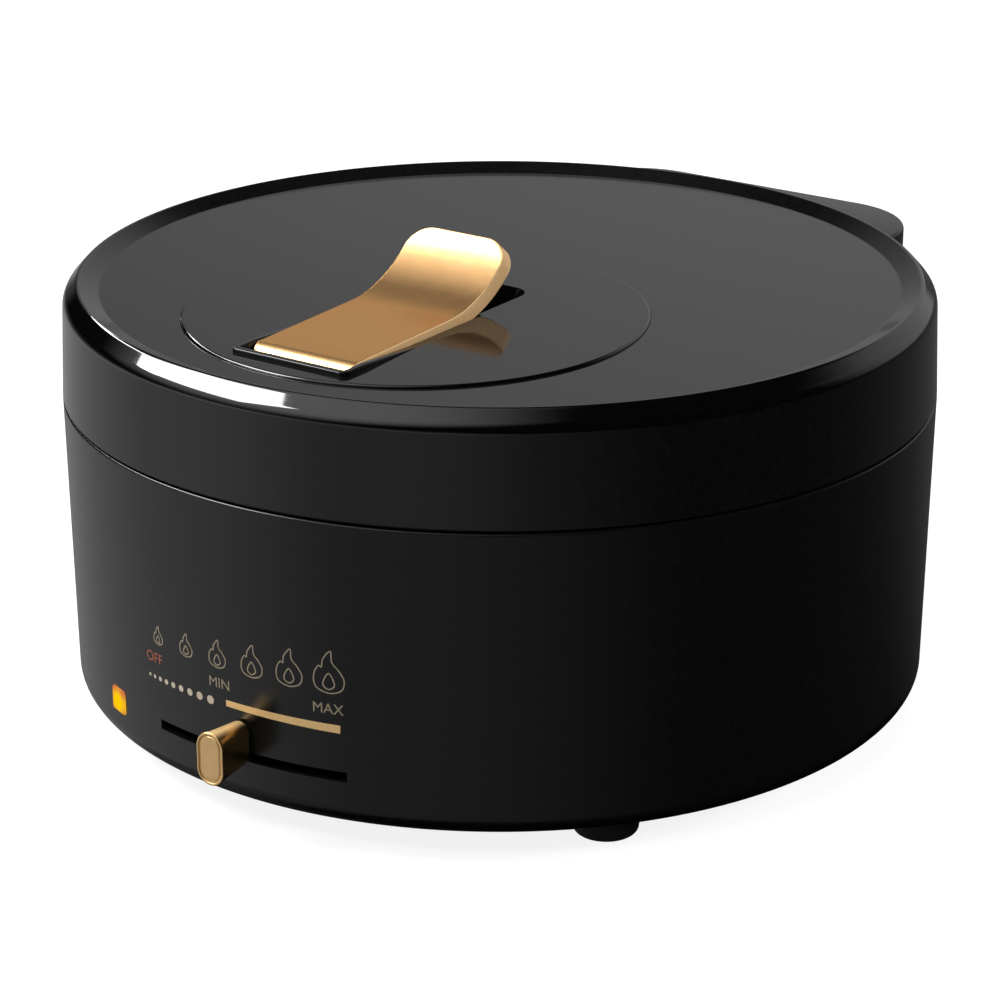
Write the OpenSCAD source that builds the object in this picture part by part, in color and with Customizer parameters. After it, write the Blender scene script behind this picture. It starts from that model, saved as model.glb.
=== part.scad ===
// Round electric skillet with a deep pan, a hinged lid with its own hot plate,
// a flip-up lid handle and a sliding heat lever. Front is -Y, hinge is +Y.
// Millimetres. Z = 0 is the table and the Z axis is the axis of the round body.

/* [Body] */
// Outer radius of the lid, and of the base at its rim
body_r = 165; // [150:1:180]
// Height of the base from its underside to its rim
base_h = 117; // [108:1:140]
// Radius that the base wall loses from its rim down to its bottom round
base_draft = 2.1; // [0.5:0.1:4]
// Inward width of the round at the bottom of the base
bottom_round_w = 16.2; // [10:0.1:18]
// Height of the round at the bottom of the base
bottom_round_h = 11; // [8:0.5:14]
// Thickness of the moulded side walls
wall = 2.6; // [2:0.1:3.2]
// Thickness of the base's bottom ring
floor_t = 4; // [3.5:0.1:5]
// Gap between the base rim and the closed lid
seam_gap = 0.8; // [0.5:0.1:1.5]
// Chamfer of the base's rim and of the lid's lower edge
lip_chamfer = 0.6; // [0.3:0.1:1]

/* [Feet] */
// Radius of a rubber foot
foot_r = 13; // [10:0.1:14]
// Height of the feet below the base
foot_h = 9; // [6:0.5:14]
// Distance of the feet's middle inside the body's outer radius
foot_inset = 28; // [27:0.5:33]
// Angle of the front feet from the front
front_foot_angle = 51; // [48:1:60]
// Angle of the rear feet from the rear
rear_foot_angle = 45; // [40:1:50]

/* [Pan] */
// Distance of the pan's mouth inside the body's outer radius
pan_margin = 15; // [13:0.5:20]
// Height of the pan's floor above the base's underside
pan_floor_h = 45; // [44:0.5:55]
// Slope of the pan's side, as radius lost from mouth to floor
pan_taper = 8; // [4:0.5:12]
// Thickness of the pan's side
pan_wall = 3; // [2.5:0.1:4]
// Thickness of the pan's floor
pan_floor_t = 4.5; // [4:0.1:6]
// Radius of the round between the pan's floor and side
pan_round = 12; // [8:0.5:16]
// Gap between the pan's rim flange and the base's wall
pan_rim_gap = 2.9; // [2:0.1:4]

/* [Bottom cover] */
// Distance of the bottom cover's edge inside the body's outer radius
cover_inset = 48; // [46:0.5:60]
// Thickness of the bottom cover
cover_t = 2; // [1.5:0.1:2.5]
// Number of vent slots in each ring
vent_count = 20; // [12:1:24]
// Width of a vent slot
vent_w = 4; // [3:0.1:5]

/* [Heat lever] */
// Height of the lever slot's middle above the base's underside
lever_h = 22; // [21:0.5:25]
// Height of the lever slot
slot_h = 3.8; // [3.4:0.1:5]
// Half of the slot's angle
slot_half_angle = 14.7; // [13:0.1:16]
// Angle of the lever and of the slot's middle from the front
lever_angle = 1.2; // [-2:0.1:2]
// Width of the lever knob
knob_w = 11.7; // [10:0.1:14]
// Height of the lever knob
knob_h = 20.2; // [17:0.1:22]
// Length of the lever knob in front of the wall
knob_len = 17.7; // [12:0.1:20]
// Gap between the knob and the wall
knob_gap = 1.4; // [0.6:0.1:2]
// Height of the knob's middle above the slot's middle
knob_rise = 5.7; // [0:0.1:6]
// Thickness of the lever's blade in the slot
lever_t = 2.8; // [2.2:0.1:3]
// Width of the lever's arm
lever_w = 8; // [6:0.1:9]
// Width of the lever's stem in the slot and the knob
stem_w = 5; // [4:0.1:5]

/* [Lamp] */
// Angle of the lamp from the front
lamp_angle = -23.9; // [-30:0.1:-22]
// Height of the lamp's middle above the base's underside
lamp_h = 21; // [19:0.1:24]
// Width of the lamp's lens
lamp_w = 10; // [7:0.1:11]
// Height of the lamp's lens
lamp_lens_h = 9.6; // [8:0.1:12]
// Height of the lens in front of the wall
lens_proud = 0.8; // [0.4:0.1:1.2]

/* [Power inlet] */
// Width of the inlet's mouth
inlet_w = 24; // [22:0.5:26]
// Height of the inlet's mouth
inlet_mouth_h = 16; // [14:0.5:18]
// Depth of the inlet's mouth
inlet_depth = 17; // [14:0.5:20]
// Height of the inlet's middle above the base's underside
inlet_h = 24; // [22:0.5:25]

/* [Lid] */
// Height of the lid from its lower edge to its crest
lid_h = 42.4; // [38:0.2:50]
// Draft of the lid's side, from its lower edge up to its shoulder
lid_draft = 1.2; // [0.6:0.1:2]
// Radius of the round between the lid's side and its chamfer
rim_round = 6.15; // [3:0.05:8]
// Angle between the chamfer and the lid's side
chamfer_angle = 42.3; // [38:0.1:48]
// Length of the chamfer's slope
chamfer_len = 6; // [5:0.01:8]
// Width of the slope from the crest down to the lid's flat top
dish_w = 8.06; // [6:0.01:11]
// Depth of the lid's flat top below the crest
dish_depth = 3.5; // [2:0.1:4.5]
// Thickness of the lid's top
lid_top_t = 3; // [2.8:0.1:3.4]

/* [Lid panel] */
// Radius of the round panel that carries the handle
panel_r = 85.6; // [82:0.1:88]
// Gap between the panel's front edge and the slope of the lid's dish
panel_inset = 11; // [8:0.5:16]
// Thickness of the panel
panel_t = 2.5; // [2.3:0.1:2.8]
// Height of the panel above the lid's flat top
panel_proud = 1; // [0.8:0.1:1.2]
// Width of the ledge that the panel sits on
panel_ledge = 6; // [5:0.1:6.5]

/* [Handle] */
// Width of the handle
handle_w = 44; // [38:0.1:46]
// Thickness of the handle
handle_t = 5.4; // [4.5:0.1:6]
// Length of the handle's flat part, from its pin to its bend
handle_flat = 52.7; // [48:0.1:57]
// Slope of the handle's flat part at rest
handle_pitch = 1.4; // [0:0.1:2]
// Radius of the handle's bend, on its upper face
bend_r = 52; // [46:0.5:58]
// Angle of the handle's bend
bend_angle = 50.5; // [45:0.5:56]
// Radius of the handle's tip corners
tip_round = 10.5; // [8:0.5:16]
// Shift of the bend's underside toward the tip, which thickens the tip
tip_swell = 2.6; // [1:0.1:4]
// Radius of the handle's round nose
nose_r = 5; // [4.5:0.1:5.2]
// Height of the handle's nose above the panel
handle_proud = 1.6; // [1.4:0.1:2.2]
// Distance of the handle's pin behind the panel's front edge
pin_inset = 22.6; // [22:0.1:24]
// Radius of the handle's pin
handle_pin_r = 1.5; // [1.2:0.1:1.7]
// Height of the bezel around the nose, above the panel
bezel_proud = 1.7; // [1.2:0.1:2]
// Thickness of the bezel
bezel_t = 2.8; // [2.2:0.1:3]
// Gap between the handle's nose and the front of the bezel
bezel_front_gap = 5.2; // [3:0.1:5.5]
// Length of the bezel's side rails behind the pin
rail_len = 28; // [22:0.5:36]
// Half width of the finger well
well_half_w = 21; // [17:0.5:21.5]
// Depth of the finger well below the panel
well_depth = 16; // [12:0.5:17]
// Length of the finger well behind the handle's tip
well_past_tip = 15.8; // [12:0.1:20]
// Radius of the finger well's corners
well_round = 8; // [5:0.5:12]

/* [Hot plate in the lid] */
// Distance of the hot plate's edge inside the body's outer radius
plate_inset = 12; // [10:0.5:14]
// Thickness of the lid's hot plate
plate_t = 3.2; // [3:0.1:4]
// Depth of the hot plate's face above its lip
plate_lip = 4; // [3:0.1:5]

/* [Lid hinge] */
// Half width of the hinge housing on the lid
ear_half_w = 79; // [74:0.5:82]
// Distance of the hinge pin's axis behind the body's outer radius
hinge_out = 17; // [16:0.5:22]
// Distance of the housing's rear edge behind the hinge barrel
ear_over = 2; // [1:0.1:4]
// Drop of the housing's top below the lid's crest
ear_drop = 12.2; // [10:0.1:14]
// Radius of the housing's rear corners
ear_round = 36; // [24:0.5:36]
// Distance of the hinge cheeks inside the housing's sides
cheek_inset = 24; // [22:0.5:28]
// Width of each hinge cheek
cheek_w = 19.5; // [17:0.5:20]
// Radius of the hinge barrel
barrel_r = 13; // [11:0.1:13]
// Radius of the hinge pin
hinge_pin_r = 3; // [2.5:0.1:4]
// Drop of the hinge pin's axis below the base rim
hinge_drop = 13; // [13:0.1:18]

/* [Fits] */
// Gap between pieces that are pushed together
push_gap = 0.15; // [0.1:0.01:0.25]
// Radial gap of a pin or shaft that turns
run_gap = 0.05; // [0.02:0.01:0.1]
// Gap between pieces that move past each other
move_gap = 0.6; // [0.4:0.1:0.8]

/* [Hidden] */
$fn = 96;
// Overrun of a cut, and the least difference that keeps two faces apart
eps = 1;
hair = 0.01;

// Radii of the round pieces
pan_r = body_r - pan_margin;
pan_flange_r = body_r - wall - pan_rim_gap;
cover_r = body_r - cover_inset;
plate_r = body_r - plate_inset;
foot_circle_r = body_r - foot_inset;

// Heights of the stacked pieces above the table
pan_drop = 0.5;
base_z = foot_h;
rim_z = base_z + base_h;
round_z = base_z + bottom_round_h;
pan_rim_z = rim_z - pan_drop;
pan_floor_z = base_z + pan_floor_h;
pan_under_z = pan_floor_z - pan_floor_t;
lever_z = base_z + lever_h;
lamp_z = base_z + lamp_h;
inlet_z = base_z + inlet_h;
lid_z = rim_z + seam_gap;
crest_z = lid_z + lid_h;
top_z = crest_z - dish_depth;
panel_z = top_z + panel_proud;
handle_z = panel_z + handle_proud;
hinge_z = rim_z - hinge_drop;
ear_z = crest_z - ear_drop;

// Radii of the lid's rim
shoulder_r = body_r - lid_draft;
crest_r = shoulder_r - rim_round * (1 - cos(chamfer_angle)) - chamfer_len * sin(chamfer_angle);
shoulder_z = crest_z - chamfer_len * cos(chamfer_angle) - rim_round * sin(chamfer_angle);
dish_r = crest_r - dish_w;

// Places of the handle and its panel along Y
panel_y = panel_r + panel_inset - dish_r;
pin_y = panel_y - panel_r + pin_inset;
pin_z = handle_z - nose_r;
bend_out = bend_r + handle_t;
bend_up = nose_r + bend_r;
bend_y = pin_y + handle_flat * cos(handle_pitch) - bend_up * sin(handle_pitch);
bend_z = pin_z + handle_flat * sin(handle_pitch) + bend_up * cos(handle_pitch);
under_y = bend_y + tip_swell * cos(handle_pitch);
under_z = bend_z + tip_swell * sin(handle_pitch);
tip_y = bend_y + bend_r * sin(handle_pitch + bend_angle);
well_back = tip_y + well_past_tip;
bezel_gap = 0.8;
bezel_in = handle_w / 2 + bezel_gap;
bezel_out = bezel_in + bezel_t;
bezel_inner_front = pin_y - nose_r - bezel_front_gap;
bezel_front = bezel_inner_front - bezel_t;
seat_margin = 0.5;
lift_angle = acos((under_z - panel_z - seat_margin) / bend_out);
seat_back = under_y + bend_out * sin(lift_angle) + seat_margin;
seat_gap = 0.3;
seat_floor = handle_z - handle_t - seat_gap;
tray_t = 1.8;

// Hinge
hinge_y = body_r + hinge_out;
ear_reach = hinge_y + barrel_r + ear_over;
cheek_out = ear_half_w - cheek_inset;
cheek_in = cheek_out - cheek_w;
cheek_mid = cheek_out - cheek_w / 2;
block_half_w = cheek_in - move_gap;
ear_clear = 2.5;
ear_under = hinge_z + barrel_r + ear_clear;
ear_wall = 3.5;

// Screws: shank radius, head radius and head height
small_screw = [1.4, 2.6, 1.6];
hinge_screw = [1.6, 3.2, 2.2];
pan_screw = [1.75, 3.6, 2.4];
screw_gap = 0.25;
head_gap = 0.4;
thread_end = 1.5;

// Radius of the base's outer wall at height z
function wall_r(z) = body_r - base_draft * (rim_z - z) / (rim_z - round_z);

// Points along an oval arc
function oval(c, rx, ry, from, to, steps = 10) =
    [for (i = [0:steps]) let (a = from + (to - from) * i / steps) c + [rx * cos(a), ry * sin(a)]];

// Point on the body's circle, with the angle counted from the front towards +X
function around(r, angle) = [r * sin(angle), -r * cos(angle)];

// Puts children at a radius and an angle from the front
module at_angle(r, angle) rotate([0, 0, angle]) translate([0, -r, 0]) children();

// Flat shape in the Y-Z plane, drawn out along X and centred
module across(width) rotate([90, 0, 90]) linear_extrude(height = width, center = true) children();

// Rod along X, centred
module rod_x(r, length) rotate([0, 90, 0]) cylinder(r = r, h = length, center = true);

// Rod from the origin along -Y
module rod_front(r, length) rotate([90, 0, 0]) cylinder(r = r, h = length);

// Flat rectangle with round corners, centred
module round_rect(w, h, r) {
    square([w - 2 * r, h], center = true);
    square([w, h - 2 * r], center = true);
    for (x = [-1, 1], y = [-1, 1]) translate([x * (w / 2 - r), y * (h / 2 - r)]) circle(r);
}

// Screw that points up, with the underside of its pan head at the origin
module screw_up(screw, length) {
    translate([0, 0, -screw[2]]) cylinder(r = screw[1], h = screw[2]);
    translate([0, 0, -screw[2] / 2]) cylinder(r = screw[0], h = length + screw[2] / 2);
}

// Bent lead through a list of points
module lead(points, r) {
    for (i = [0:len(points) - 2]) hull() {
        translate(points[i]) sphere(r = r, $fn = 10);
        translate(points[i + 1]) sphere(r = r, $fn = 10);
    }
}

// Base

cover_lap = 6;
cover_screw_inset = 3;
cover_rebate_r = cover_r + push_gap;
base_open_r = cover_r - cover_lap;
cover_screw_circle = cover_r - cover_screw_inset;
cover_screw_angles = [0, 90, 180, 270];
cover_boss_r = 4.5;
cover_boss_h = 8;
pan_screw_circle = cover_r + cover_lap;
pan_screw_angles = [36, 144, 216, 324];
pan_boss_r = 6;
pan_boss_h = 6;
pan_recess_h = 5;
boss_root = 1;
ledge_z = pan_rim_z - pan_wall;
ledge_t = 3;
ledge_slope = 4;
ledge_gap = 3;
lap = 0.1;
foot_neck_r = 3.5;
hinge_screw_inset = 16.9;
hinge_screw_x = block_half_w - hinge_screw_inset;
hinge_screw_drop = 8;
hinge_screw_step = 16;
hinge_screw_zs = [hinge_z - hinge_screw_drop, hinge_z - hinge_screw_drop - hinge_screw_step];
hinge_screw_in = 7;
inlet_lip_w = 7;
inlet_lip_h = 6;
inlet_proud = 1.2;
inlet_flange_w = inlet_w + 2 * inlet_lip_w;
inlet_flange_h = inlet_mouth_h + 2 * inlet_lip_h;
inlet_face = wall_r(inlet_z) + inlet_proud;
through = 20;

foot_angles = [-front_foot_angle, front_foot_angle, 180 + rear_foot_angle, 180 - rear_foot_angle];

// Outline of the base's wall and bottom ring, half section
module base_section() {
    round_r = body_r - base_draft - bottom_round_w;
    inner_r = body_r - wall;
    ledge_r = pan_r + pan_wall + ledge_gap;
    outer = oval([round_r, round_z], bottom_round_w, bottom_round_h, -90, 0);
    inner = oval([round_r, round_z], bottom_round_w - wall, bottom_round_h - floor_t, 0, -90);
    polygon(concat(
        [[base_open_r, base_z]], outer,
        [[body_r, rim_z - lip_chamfer], [body_r - lip_chamfer, rim_z], [inner_r, rim_z]],
        inner, [[base_open_r, base_z + floor_t]]
    ));
    polygon([
        [ledge_r, ledge_z], [inner_r + lap, ledge_z],
        [inner_r + lap, ledge_z - ledge_t - ledge_slope], [ledge_r, ledge_z - ledge_t]
    ]);
}

// Slot for the lever, with square ends
module lever_slot() {
    outer = body_r + eps;
    inner = body_r - base_draft - 3 * wall;
    half_w = outer * sin(slot_half_angle);
    end_y = -outer * cos(slot_half_angle);
    rotate([0, 0, lever_angle]) intersection() {
        translate([0, 0, lever_z - slot_h / 2]) difference() {
            cylinder(r = outer, h = slot_h);
            translate([0, 0, -eps]) cylinder(r = inner, h = slot_h + 2 * eps);
        }
        linear_extrude(height = 2 * lever_z)
            polygon([[0, 0], [-half_w, end_y], [0, -2 * outer], [half_w, end_y]]);
    }
}

// Moulded base: round wall, rolled bottom edge, bottom ring, pan ledge and screw columns
module base_shell() {
    column_z = base_z + floor_t / 2;
    column_top = pan_under_z - pan_boss_h;
    color("#161616") difference() {
        union() {
            rotate_extrude($fn = 180) base_section();
            for (a = pan_screw_angles) at_angle(pan_screw_circle, a)
                translate([0, 0, column_z]) cylinder(r = pan_boss_r, h = column_top - column_z);
            for (a = cover_screw_angles) at_angle(cover_screw_circle, a)
                translate([0, 0, base_z + cover_t])
                    cylinder(r = cover_boss_r, h = floor_t - cover_t + cover_boss_h);
        }
        translate([0, 0, base_z - eps]) cylinder(r = cover_rebate_r, h = cover_t + eps);
        for (a = pan_screw_angles) at_angle(pan_screw_circle, a) translate([0, 0, base_z - eps]) {
            cylinder(r = pan_screw[0] + screw_gap, h = column_top - base_z + 2 * eps);
            cylinder(r = pan_screw[1] + head_gap, h = pan_recess_h + eps);
        }
        for (a = cover_screw_angles) at_angle(cover_screw_circle, a) translate([0, 0, base_z])
            cylinder(r = small_screw[0] + run_gap, h = floor_t + cover_boss_h - thread_end);
        for (a = foot_angles) at_angle(foot_circle_r, a) translate([0, 0, base_z - eps])
            cylinder(r = foot_neck_r + push_gap, h = floor_t + 2 * eps);
        lever_slot();
        at_angle(body_r - through / 2, lamp_angle)
            translate([-lamp_w / 2, -through, lamp_z - lamp_lens_h / 2])
                cube([lamp_w, through, lamp_lens_h]);
        translate([0, body_r - through, inlet_z]) rotate([-90, 0, 0]) linear_extrude(height = 2 * through)
            square([inlet_flange_w + 2 * push_gap, inlet_flange_h + 2 * push_gap], center = true);
        for (x = [-1, 1], z = hinge_screw_zs) translate([x * hinge_screw_x, body_r + through / 2, z])
            rod_front(hinge_screw[0] + screw_gap, 2 * through);
    }
}

// Vented plate that closes the underside
vent_rings = [0.42, 0.68];
vent_len = 0.18;

module bottom_cover() {
    color("#1c1c1c") difference() {
        translate([0, 0, base_z]) cylinder(r = cover_r, h = cover_t, $fn = 180);
        for (ring = vent_rings, i = [0:vent_count - 1])
            rotate([0, 0, (i + 0.5) * 360 / vent_count]) translate([ring * cover_r, 0, base_z - eps])
                linear_extrude(height = cover_t + 2 * eps)
                    round_rect(vent_len * cover_r, vent_w, vent_w / 2 - hair);
        for (a = cover_screw_angles) at_angle(cover_screw_circle, a)
            translate([0, 0, base_z - eps]) cylinder(r = small_screw[0] + screw_gap, h = cover_t + 2 * eps);
    }
}

// Screws that hold the bottom cover
module cover_screws() {
    color("silver") for (a = cover_screw_angles) at_angle(cover_screw_circle, a)
        translate([0, 0, base_z]) screw_up(small_screw, floor_t + cover_boss_h - 2 * thread_end);
}

// Rubber foot with a neck and a head that snap through the base's bottom ring
foot_edge = 3;
foot_draft = 1;
foot_head_w = 2;
foot_head_h = 5;

module foot(angle) {
    head_z = base_z + floor_t;
    color("#101010") at_angle(foot_circle_r, angle) rotate_extrude() polygon(concat(
        [[0, 0]],
        oval([foot_r - foot_draft - foot_edge, foot_edge], foot_edge, foot_edge, -90, 0, 6),
        [
            [foot_r, base_z], [foot_neck_r, base_z], [foot_neck_r, head_z],
            [foot_neck_r + foot_head_w, head_z], [foot_neck_r / 2, head_z + foot_head_h],
            [0, head_z + foot_head_h]
        ]
    ));
}

// Cast pan with a rim flange, four screw bosses and three shield bosses
shield_drop = 11;
shield_z = pan_under_z - shield_drop;
shield_t = 0.8;
shield_boss_inset = 82;
shield_boss_circle = pan_r - shield_boss_inset;
shield_boss_angles = [60, 180, 300];
shield_boss_r = 5;
shield_screw_len = 8;
mouth_ease = 1;

module cooking_pan() {
    floor_r = pan_r - pan_taper;
    outer_floor_r = floor_r + pan_wall;
    inner = oval([floor_r - pan_round, pan_floor_z + pan_round], pan_round, pan_round, -90, 0, 8);
    outer = oval([outer_floor_r - pan_round, pan_under_z + pan_round], pan_round, pan_round, 0, -90, 8);
    shield_boss_z = shield_z + shield_t;
    color("#3a3a3a") difference() {
        union() {
            rotate_extrude($fn = 180) polygon(concat(
                [[0, pan_floor_z]], inner,
                [
                    [pan_r - mouth_ease, pan_rim_z - mouth_ease], [pan_r, pan_rim_z],
                    [pan_flange_r, pan_rim_z], [pan_flange_r, ledge_z], [pan_r + pan_wall, ledge_z]
                ],
                outer, [[0, pan_under_z]]
            ));
            for (a = pan_screw_angles) at_angle(pan_screw_circle, a)
                translate([0, 0, pan_under_z - pan_boss_h])
                cylinder(r = pan_boss_r, h = pan_boss_h + boss_root);
            for (a = shield_boss_angles) at_angle(shield_boss_circle, a) translate([0, 0, shield_boss_z])
                cylinder(r = shield_boss_r, h = pan_under_z - shield_boss_z + boss_root);
        }
        for (a = pan_screw_angles) at_angle(pan_screw_circle, a)
            translate([0, 0, pan_under_z - pan_boss_h - eps])
                cylinder(r = pan_screw[0] + run_gap, h = pan_boss_h + eps);
        for (a = shield_boss_angles) at_angle(shield_boss_circle, a) translate([0, 0, shield_z])
            cylinder(r = small_screw[0] + run_gap, h = shield_screw_len + thread_end);
    }
}

// Long screws from below that pull the pan onto its ledge
module pan_screws() {
    head_z = base_z + pan_recess_h;
    color("silver") for (a = pan_screw_angles) at_angle(pan_screw_circle, a)
        translate([0, 0, head_z]) screw_up(pan_screw, pan_under_z - thread_end - head_z);
}

// Tubular heater in an open ring, with its cold ends turned down or up
heater_r = 4.2;
heater_end_r = 3;
heater_inset = 55;
heater_ring_r = pan_r - heater_inset;
heater_gap_angle = 14;
heater_end_len = 16;

// Puts children at both ends of a heater
module at_heater_ends() {
    for (side = [-1, 1])
        at_angle(heater_ring_r, 180 + side * heater_gap_angle) children();
}

module heater_ring(z, up) {
    translate([0, 0, z]) rotate([0, 0, 90 + heater_gap_angle])
        rotate_extrude(angle = 360 - 2 * heater_gap_angle, $fn = 120)
            translate([heater_ring_r, 0]) circle(heater_r);
    at_heater_ends() translate([0, 0, z]) {
        sphere(r = heater_r + 2 * hair);
        mirror([0, 0, up ? 0 : 1]) cylinder(r = heater_end_r, h = heater_end_len);
    }
}

// Heater under the pan
module pan_heater() color("#8a8a86") heater_ring(pan_under_z - heater_r - run_gap, false);

// Thin metal dish that keeps the heat off the base
shield_hole_r = 24;
shield_rise = 6;
shield_edge_gap = 2;

module heat_shield() {
    shield_r = pan_screw_circle - pan_boss_r - shield_edge_gap;
    color("#c8c8c4") difference() {
        rotate_extrude($fn = 120) polygon([
            [shield_hole_r, shield_z], [shield_r - shield_rise, shield_z],
            [shield_r, shield_z + shield_rise],
            [shield_r - shield_t, shield_z + shield_rise],
            [shield_r - shield_rise - shield_t / 2, shield_z + shield_t],
            [shield_hole_r, shield_z + shield_t]
        ]);
        for (a = shield_boss_angles) at_angle(shield_boss_circle, a)
            translate([0, 0, shield_z - eps])
                cylinder(r = small_screw[0] + screw_gap, h = shield_t + 2 * eps);
        at_heater_ends() translate([0, 0, shield_z - eps]) cylinder(r = heater_r, h = shield_t + 2 * eps);
    }
}

// Screws that hold the heat shield to the pan
module shield_screws() {
    color("silver") for (a = shield_boss_angles) at_angle(shield_boss_circle, a)
        translate([0, 0, shield_z]) screw_up(small_screw, shield_screw_len);
}

// Thermostat at the middle of the pan, with its bush for the lever's spindle
spindle_r = 3;
hub_h = 4;
hub_z = lever_z - hub_h / 2;
thermostat_r = 13;
thermostat_flange_w = 5;
thermostat_flange_t = 2;
bush_gap = 0.4;
bush_z = hub_z + hub_h + bush_gap;
bush_wall = 3;
bush_h = 5;
tab_w = 6;
tab_len = 8;
tab_t = 1;
tab_y = 7;
tab_z = bush_z + bush_h + tab_t;
spindle_short = 6;
spindle_top = pan_under_z - spindle_short;

module thermostat_body() {
    body_z = bush_z + bush_h - tab_t;
    color("#e6e0d2") difference() {
        union() {
            translate([0, 0, pan_under_z - thermostat_flange_t])
                cylinder(r = thermostat_r + thermostat_flange_w, h = thermostat_flange_t);
            translate([0, 0, body_z])
                cylinder(r = thermostat_r, h = pan_under_z - thermostat_flange_t / 2 - body_z);
            translate([0, 0, bush_z]) cylinder(r = spindle_r + bush_wall, h = bush_h);
            for (x = [-1, 1]) translate([x * thermostat_r - tab_w / 2, tab_y - tab_len / 2, tab_z])
                cube([tab_w, tab_len, tab_t]);
        }
        translate([0, 0, bush_z - eps])
            cylinder(r = spindle_r + run_gap, h = spindle_top + 2 * eps - bush_z);
    }
}

// Thermal fuse in its sleeve, held against the pan by a strap
fuse_inset = 49;
fuse_y = heater_ring_r - fuse_inset;
fuse_r = 2.5;
fuse_len = 16;
fuse_wire = 36;
fuse_wire_r = 0.8;
strap_w = 8;
strap_t = 1.2;

module thermal_fuse() {
    strap_h = 2 * fuse_r + strap_t;
    bite = strap_t / 4;
    color("#d8d2c0") translate([0, fuse_y, pan_under_z - fuse_r]) {
        translate([0, 0, -run_gap]) {
            rod_x(fuse_r, fuse_len);
            rod_x(fuse_wire_r, fuse_wire);
        }
        difference() {
            translate([-strap_w / 2, -fuse_r - strap_t, -fuse_r - strap_t])
                cube([strap_w, 2 * (fuse_r + strap_t), strap_h]);
            rod_x(fuse_r - bite, 2 * strap_w);
            translate([-strap_w, -fuse_r + bite, 0]) cube([2 * strap_w, 2 * (fuse_r - bite), strap_h]);
        }
    }
}

// Leads from the inlet through the fuse and thermostat to the heater, and the earth lead to the pan
pin_x = 7;
contact_tail = 16;
pin_inner_y = inlet_face - inlet_depth - contact_tail;
lead_r = 1.4;
lead_bend = 2;
lead_end_gap = 0.3;

module base_wiring() {
    reach = lead_r + lead_end_gap;
    heater_end = around(heater_ring_r, 180 - heater_gap_angle);
    heater_tip_z = pan_under_z - heater_r - heater_end_len - reach;
    over_shield_z = pan_under_z - fuse_r;
    rim_y = pan_screw_circle - 1.5 * lead_bend;
    tab_top = tab_z + tab_t + reach;
    tab_x = thermostat_r + tab_w / 2;
    pin_end = pin_inner_y - reach;
    color("#b03a2a") {
        lead([
            [-pin_x, pin_end, inlet_z], [-pin_x - lead_bend, rim_y + lead_bend, inlet_z],
            [-pin_x - 2 * lead_bend, rim_y, over_shield_z], [-fuse_wire / 2 - reach, fuse_y, over_shield_z]
        ], lead_r);
        lead([
            [fuse_wire / 2 + reach, fuse_y, over_shield_z],
            [tab_x + lead_bend, tab_y + 3 * lead_bend, over_shield_z - 2 * lead_bend],
            [tab_x, tab_y, tab_top]
        ], lead_r);
        lead([
            [-tab_x, tab_y, tab_top], [-heater_end[0], heater_end[1] - heater_end_r - reach, tab_top]
        ], lead_r);
        lead([
            [heater_end[0], heater_end[1], heater_tip_z],
            [heater_end[0], heater_end[1] + 4 * lead_bend, heater_tip_z],
            [pin_x, rim_y, inlet_z], [pin_x, pin_end, inlet_z]
        ], lead_r);
        lead([
            [0, pin_end, inlet_z], [0, rim_y + lead_bend, inlet_z], [0, rim_y, over_shield_z],
            [0, shield_boss_circle + shield_boss_r + reach, over_shield_z]
        ], lead_r);
    }
}

// Lamp

// Amber lens that fills the lamp's window, with a flange behind the wall
lens_deep = 5.5;
lens_back = wall_r(lamp_z) - lens_deep;
lens_flange_t = 2;
lens_flange_w = 2;

module lamp_lens() {
    w = lamp_w - 2 * push_gap;
    h = lamp_lens_h - 2 * push_gap;
    color("#ffae14") at_angle(lens_back, lamp_angle) translate([0, 0, lamp_z]) rotate([90, 0, 0]) {
        linear_extrude(height = lens_deep + lens_proud) square([w, h], center = true);
        linear_extrude(height = lens_flange_t)
            square([w + 2 * lens_flange_w, h + 2 * lens_flange_w], center = true);
    }
}

// Holder for the lamp behind its lens
bulb_r = 3;
bulb_len = 9;
holder_wall = 2;
holder_back = 3;
holder_len = 16;

module lamp_holder() {
    color("#d9d9d2") at_angle(lens_back - holder_len, lamp_angle) translate([0, 0, lamp_z]) difference() {
        rod_front(bulb_r + holder_wall, holder_len);
        translate([0, -holder_back, 0]) rod_front(bulb_r + run_gap, holder_len);
    }
}

// Neon lamp in its holder
module lamp_bulb() {
    color("#ff9a3c") at_angle(lens_back - holder_len + holder_back, lamp_angle) translate([0, 0, lamp_z]) {
        rod_front(bulb_r, bulb_len);
        translate([0, -bulb_len, 0]) sphere(r = bulb_r);
    }
}

// Power inlet

// Inlet housing with an open mouth at the rear
inlet_flange_t = 6;
inlet_back_t = 3;
inlet_wall = 2.5;
contact_t = 2;
contact_h = 4;
contact_sunk = 5;

// Block behind the inlet's face, centred on the inlet
module inlet_block(w, h, from, to)
    translate([-w / 2, inlet_face - to, inlet_z - h / 2]) cube([w, to - from, h]);

module power_inlet() {
    deep = inlet_depth + inlet_back_t;
    color("#0e0e0e") difference() {
        union() {
            inlet_block(inlet_flange_w, inlet_flange_h, 0, inlet_flange_t);
            inlet_block(inlet_w + 2 * inlet_wall, inlet_mouth_h + 2 * inlet_wall, 0, deep);
        }
        inlet_block(inlet_w, inlet_mouth_h, -eps, inlet_depth);
        for (x = [-pin_x, 0, pin_x]) translate([x, 0, 0])
            inlet_block(contact_t + 2 * run_gap, contact_h + 2 * run_gap, inlet_depth - eps, deep + eps);
    }
}

// Flat contact pins of the inlet
module inlet_pins() {
    color("#c9a445") for (x = [-pin_x, 0, pin_x]) translate([x, 0, 0])
        inlet_block(contact_t, contact_h, contact_sunk, inlet_depth + contact_tail);
}

// Hinge

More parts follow.
